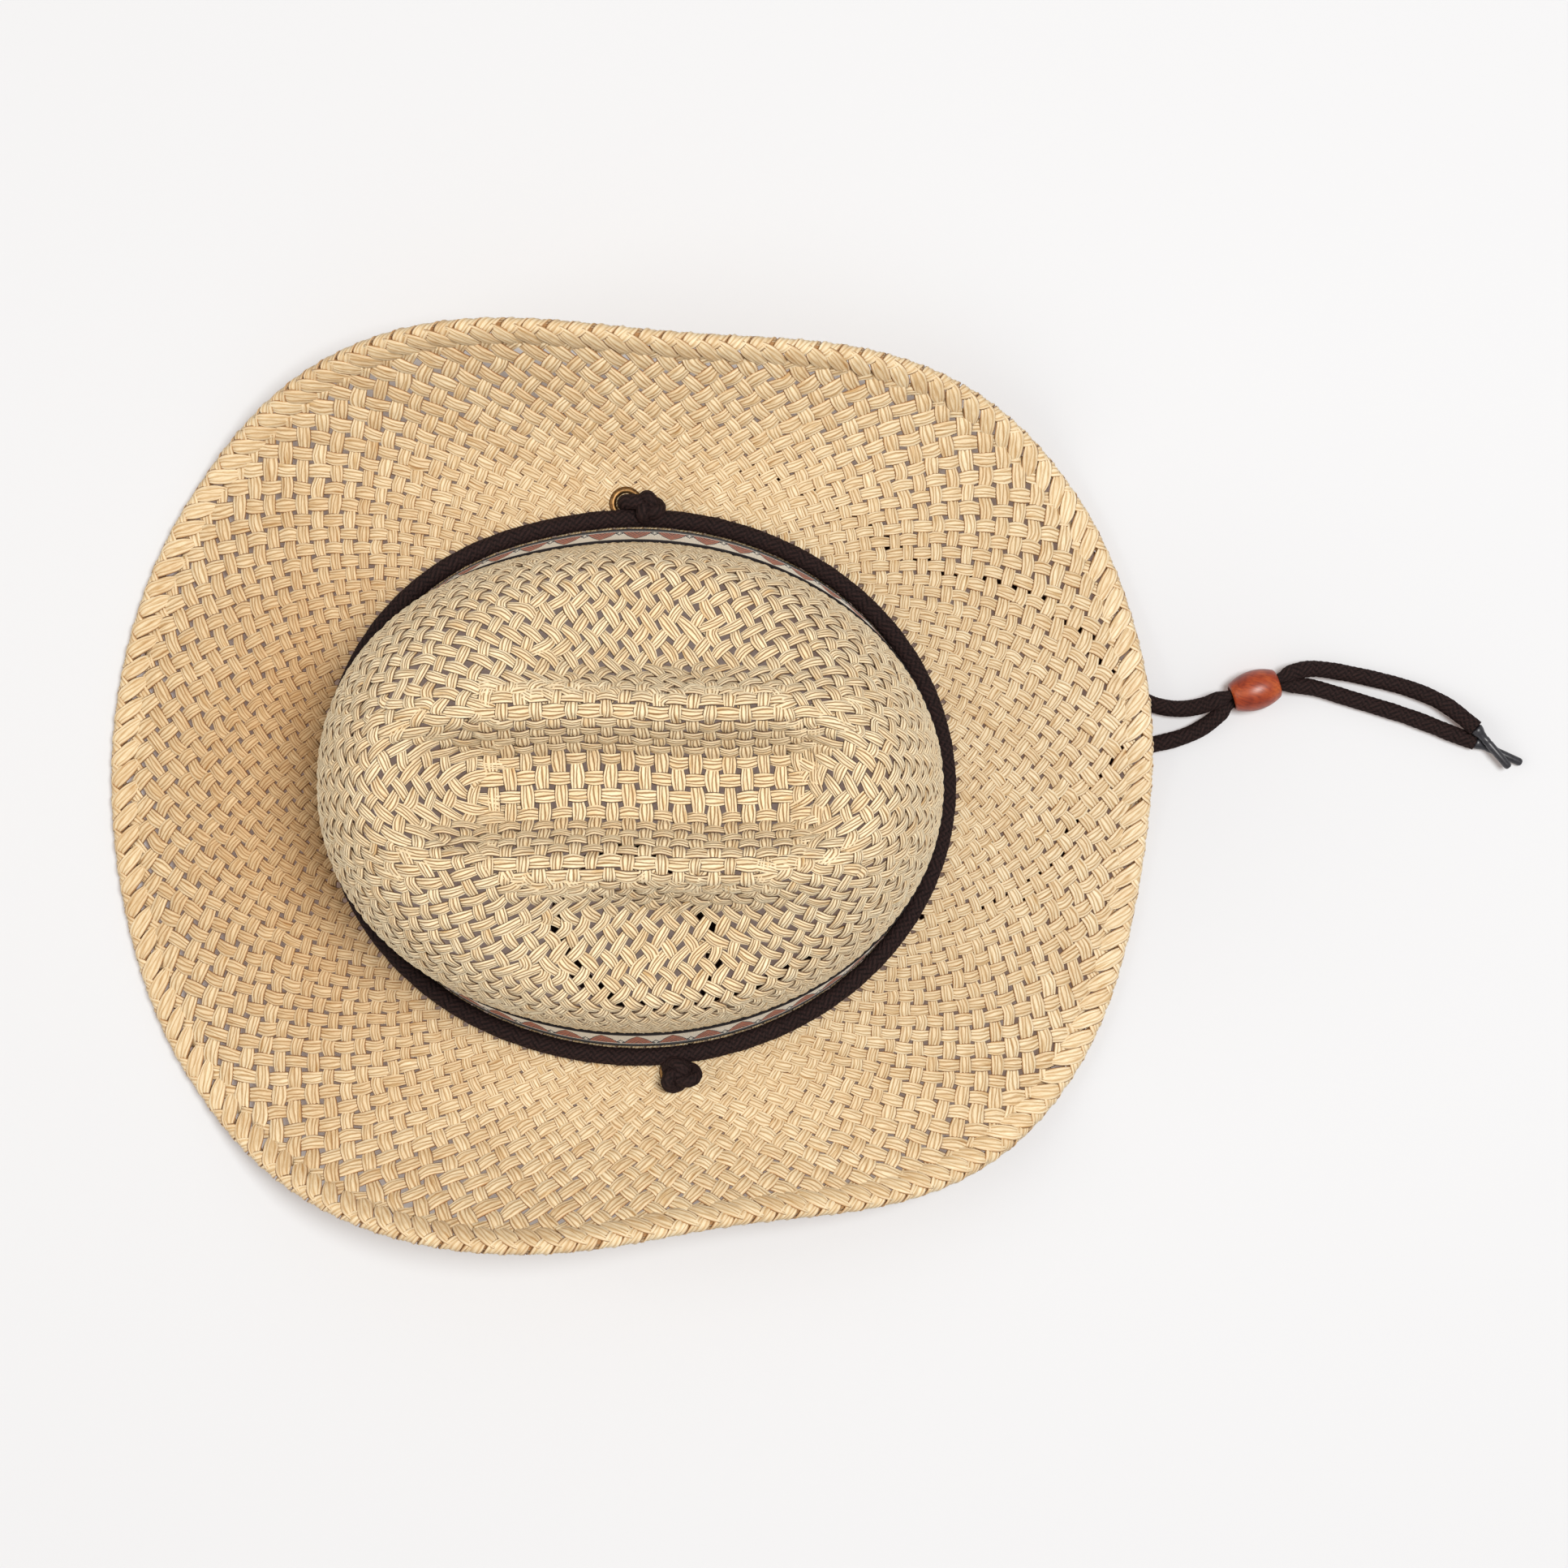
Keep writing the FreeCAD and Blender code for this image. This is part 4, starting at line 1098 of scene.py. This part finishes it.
# ---- turned pieces ----
def turned(name, profile, origin, direction, material, replaces, segments=64, ring=True, body="hat"):
    """A piece turned round an axis. The profile is (along, radius) points; ring closes it on itself."""
    direction = np.asarray(direction) / np.linalg.norm(direction)
    helper = np.array([0.0, 0.0, 1.0]) if abs(direction[2]) < 0.9 else np.array([1.0, 0.0, 0.0])
    side = unit(np.cross(direction, helper))
    up = np.cross(side, direction)
    profile = np.array(profile)
    turn = evenly_round(segments)
    wheel = side[None] * np.cos(turn)[:, None] + up[None] * np.sin(turn)[:, None]
    vertices = (np.asarray(origin) + profile[:, None, :1] * direction + profile[:, None, 1:] * wheel[None])
    index = np.arange(len(profile) * segments).reshape(-1, segments)
    uvs = grid_uvs(turn, profile[:, :1] / MM, index.shape)
    return mesh_object(name, vertices.reshape(-1, 3), grid_quads(index, ring), uvs, material, replaces,
                       body=body)


def make_bead(material):
    """The turned bead: bellied outside, with rounded ends and one wide bore."""
    half = BEAD_LENGTH / 2
    edge = 0.0006
    profile = []
    for k in range(33):
        along = half * (k / 16 - 1) * (1 - edge / half)
        bulge = 1 - (along / half) ** 2
        profile.append((along, BEAD_END_RADIUS + edge * 0.3 + (BEAD_RADIUS - BEAD_END_RADIUS) * bulge))
    profile += [(half - edge * 0.3, BEAD_END_RADIUS), (half, BEAD_END_RADIUS - edge * 0.6),
                (half - edge * 0.2, BEAD_BORE_RADIUS + edge * 0.15), (half - edge, BEAD_BORE_RADIUS),
                (0.0, BEAD_BORE_RADIUS), (edge - half, BEAD_BORE_RADIUS),
                (edge * 0.2 - half, BEAD_BORE_RADIUS + edge * 0.15),
                (-half, BEAD_END_RADIUS - edge * 0.6), (edge * 0.3 - half, BEAD_END_RADIUS)]
    return turned("slider_bead_turned", profile, BEAD_CENTRE, BEAD_DIRECTION, material, ("slider_bead",),
                  body="bead")


def make_aglet(side, start, tip, material):
    """A moulded tip: a flared mouth, two rings for grip and a rounded end."""
    start = np.array(start)
    heading = np.array(tip) - start
    length = float(np.linalg.norm(heading))
    profile = [(0.0, 0.0), (0.0, 0.0020), (0.0004, 0.0023), (0.0016, 0.0021), (0.0030, 0.0016),
               (0.0040, 0.00145), (0.0046, 0.00130), (0.0052, 0.00145), (0.0062, 0.00145),
               (0.0068, 0.00130), (0.0074, 0.00145), (length - 0.0010, 0.00140), (length - 0.0003, 0.0012),
               (length, 0.0008), (length, 0.0)]
    return turned("aglet_" + side + "_tip", profile, start, heading, material, ("aglet_" + side,), 32, False)


def make_eyelet(side, material):
    """An eyelet rolled over the brim, with its washer below."""
    x, y = EYELETS[side]
    foot = -0.0016 - STRAW - 0.00015
    flange = [(0.0, 0.0056), (0.00022, 0.0057), (0.00055, 0.0053), (0.00075, 0.0047), (0.00070, 0.0041),
              (0.00035, 0.0036), (0.0, 0.0034), (foot, 0.0034), (foot - 0.0002, 0.0038),
              (foot + 0.0001, 0.0045), (foot + 0.0005, 0.0045), (foot + 0.0006, 0.0038), (-0.0001, 0.0038)]
    turned("eyelet_" + side + "_flange", flange, (x, y, BRIM_TOP + 0.00015), (0, 0, 1), material,
           ("eyelet_" + side,))
    washer = [(0.0, 0.0041), (-0.0001, 0.0045), (0.0, 0.0054), (0.00025, 0.0056), (0.0005, 0.0054),
              (0.0005, 0.0040)]
    turned("eyelet_washer_" + side + "_ring", washer, (x, y, BRIM_TOP - STRAW - 0.0007), (0, 0, 1), material,
           ("eyelet_washer_" + side,))


# ---- bands ----
BAND_COLUMNS = 560
BAND_LEVELS = 15
RIBBON_REPEAT = 0.011            # the length of ribbon that its pattern takes
WEBBING_REPEAT = 0.006


def make_wall_band(name, low_z, high_z, gap, thickness, material, node, repeat):
    """A band that follows the crown's wall, outside it for the ribbon and inside for the sweatband."""
    turn = evenly_round(BAND_COLUMNS) / (2 * math.pi)
    rises = np.linspace(0.0, 0.5, 240)
    heights = np.array([crown_point(np.array([math.pi / 2]), q)[0, 2] for q in rises])
    outer, inner = [], []
    for z in np.linspace(low_z, high_z, BAND_LEVELS):
        ring = Ring(crown_point, float(np.interp(z, heights, rises)))
        points, normals = ring.at(turn, by_angle=True)
        outer.append(points + normals * (gap + thickness))
        inner.append(points + normals * gap)
    length = float(travel(outer[BAND_LEVELS // 2])[-1])
    grid = np.array(outer + inner[::-1])
    # One more column than there are points, so that the pattern closes with no seam of its own.
    grid = np.concatenate([grid, grid[:, :1]], axis=1)
    shape = grid.shape[:2]
    quads = grid_quads(np.arange(grid.size // 3).reshape(shape), True, False)
    up = np.concatenate([np.linspace(0, 1, BAND_LEVELS), np.linspace(1, 0, BAND_LEVELS)])
    uvs = grid_uvs(np.linspace(0, round(length / repeat), shape[1]), up[:, None], shape)
    piece = mesh_object(name, grid.reshape(-1, 3), quads, uvs, material, (node,))
    merge_seam(piece)
    return piece, length


def merge_seam(piece):
    """Join the band's last column of points to its first."""
    mesh = bmesh.new()
    mesh.from_mesh(piece.data)
    bmesh.ops.remove_doubles(mesh, verts=mesh.verts, dist=1e-6)
    mesh.to_mesh(piece.data)
    mesh.free()


# ---- floor and lights ----
def make_floor():
    """A pale floor that gives off a little warm light, just under the lowest leaf of the rim."""
    graph = Graph("floor", Roughness=0.9, Specular_IOR_Level=0.1, Base_Color=(0.560, 0.596, 0.622, 1),
                  Emission_Color=(1.0, 0.66, 0.54, 1), Emission_Strength=0.13)
    half = 4.0
    level = -0.00026
    corners = [(-half, -half, level), (half, -half, level), (half, half, level), (-half, half, level)]
    mesh = bpy.data.meshes.new("floor")
    mesh.from_pydata(corners, [], [(0, 1, 2, 3)])
    mesh.materials.append(graph.material)
    add_to_scene("floor", mesh)


def make_area_light(name, place, target, size, watts, colour):
    data = bpy.data.lights.new(name, "AREA")
    data.shape = "DISK"
    data.size = size
    data.energy = watts
    data.color = colour
    light = add_to_scene(name, data)
    light.location = place
    light.rotation_euler = (Vector(target) - Vector(place)).to_track_quat("-Z", "Y").to_euler()


def make_lights():
    """A large soft key from the front of the hat, a weaker fill and an even sky."""
    make_area_light("key", (0.14, -0.60, 2.32), (0, 0, 0.05), 0.8, 54.0, (1.0, 0.985, 0.965))
    make_area_light("fill", (-0.1, 1.5, 1.3), (0, 0, 0.05), 1.4, 12.0, (1.0, 0.94, 0.86))
    world = bpy.data.worlds.new("sky")
    world.use_nodes = True
    sky = world.node_tree.nodes["Background"]
    sky.inputs["Color"].default_value = (1.0, 0.985, 0.97, 1)
    sky.inputs["Strength"].default_value = 0.38
    bpy.context.scene.world = world
    bpy.context.scene.view_settings.view_transform = "Standard"


# ---- the hat ----
def main():
    make_camera()
    cord_brown = cord_material("brown_cord", linear(22, 13, 13), linear(54, 36, 34))
    wood = wood_material()
    plastic = plastic_material()
    bead = make_bead(wood)
    for side, tail in (("left", LEFT_TAIL), ("right", RIGHT_TAIL)):
        make_aglet(side, tail[-1], AGLET_TIPS[side], plastic)
    make_chin_cord("left", LEFT_ROUTE, LEFT_TAIL, 1, cord_brown)
    make_chin_cord("right", RIGHT_ROUTE, RIGHT_TAIL, -1, cord_brown)
    make_band_cord(cord_brown)
    for side in EYELETS:
        make_knot(side, cord_brown)
    brass = brass_material()
    for side in EYELETS:
        make_eyelet(side, brass)
    # For each straw, the third and fourth colours are painted shade: in the grooves between the strings, and
    # at the strands' edges.
    make_crown(straw_material("straw_crown", PALE_STRAW, linear(228, 197, 150), (0.36, 0.25, 0.15),
                              (0.16, 0.08, 0.035), 1.0))
    make_brim(straw_material("straw_brim", PALE_STRAW, DARK_STRAW, (0.62, 0.49, 0.35), (0.60, 0.40, 0.24),
                             0.6, BRIM_PAINTED_SHADE))
    make_rim(straw_material("straw_braid", PALE_STRAW, DARK_STRAW, (0.76, 0.64, 0.50), (0.66, 0.46, 0.30),
                            0.5, BRIM_PAINTED_SHADE))
    ribbon, length = make_wall_band("hatband_ribbon_woven", 0.0327, 0.0534, 0.00015, 0.0008,
                                    ribbon_material(), "hatband_ribbon", RIBBON_REPEAT)
    sweatband, length = make_wall_band("sweatband_webbing", 0.0319, 0.0612, -0.00335, 0.0012,
                                       cloth_material(), "sweatband", WEBBING_REPEAT)
    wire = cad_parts["brim_edge_wire"]
    wire.data.materials.clear()
    wire.data.materials.append(steel_material())
    make_floor()
    make_lights()


main()
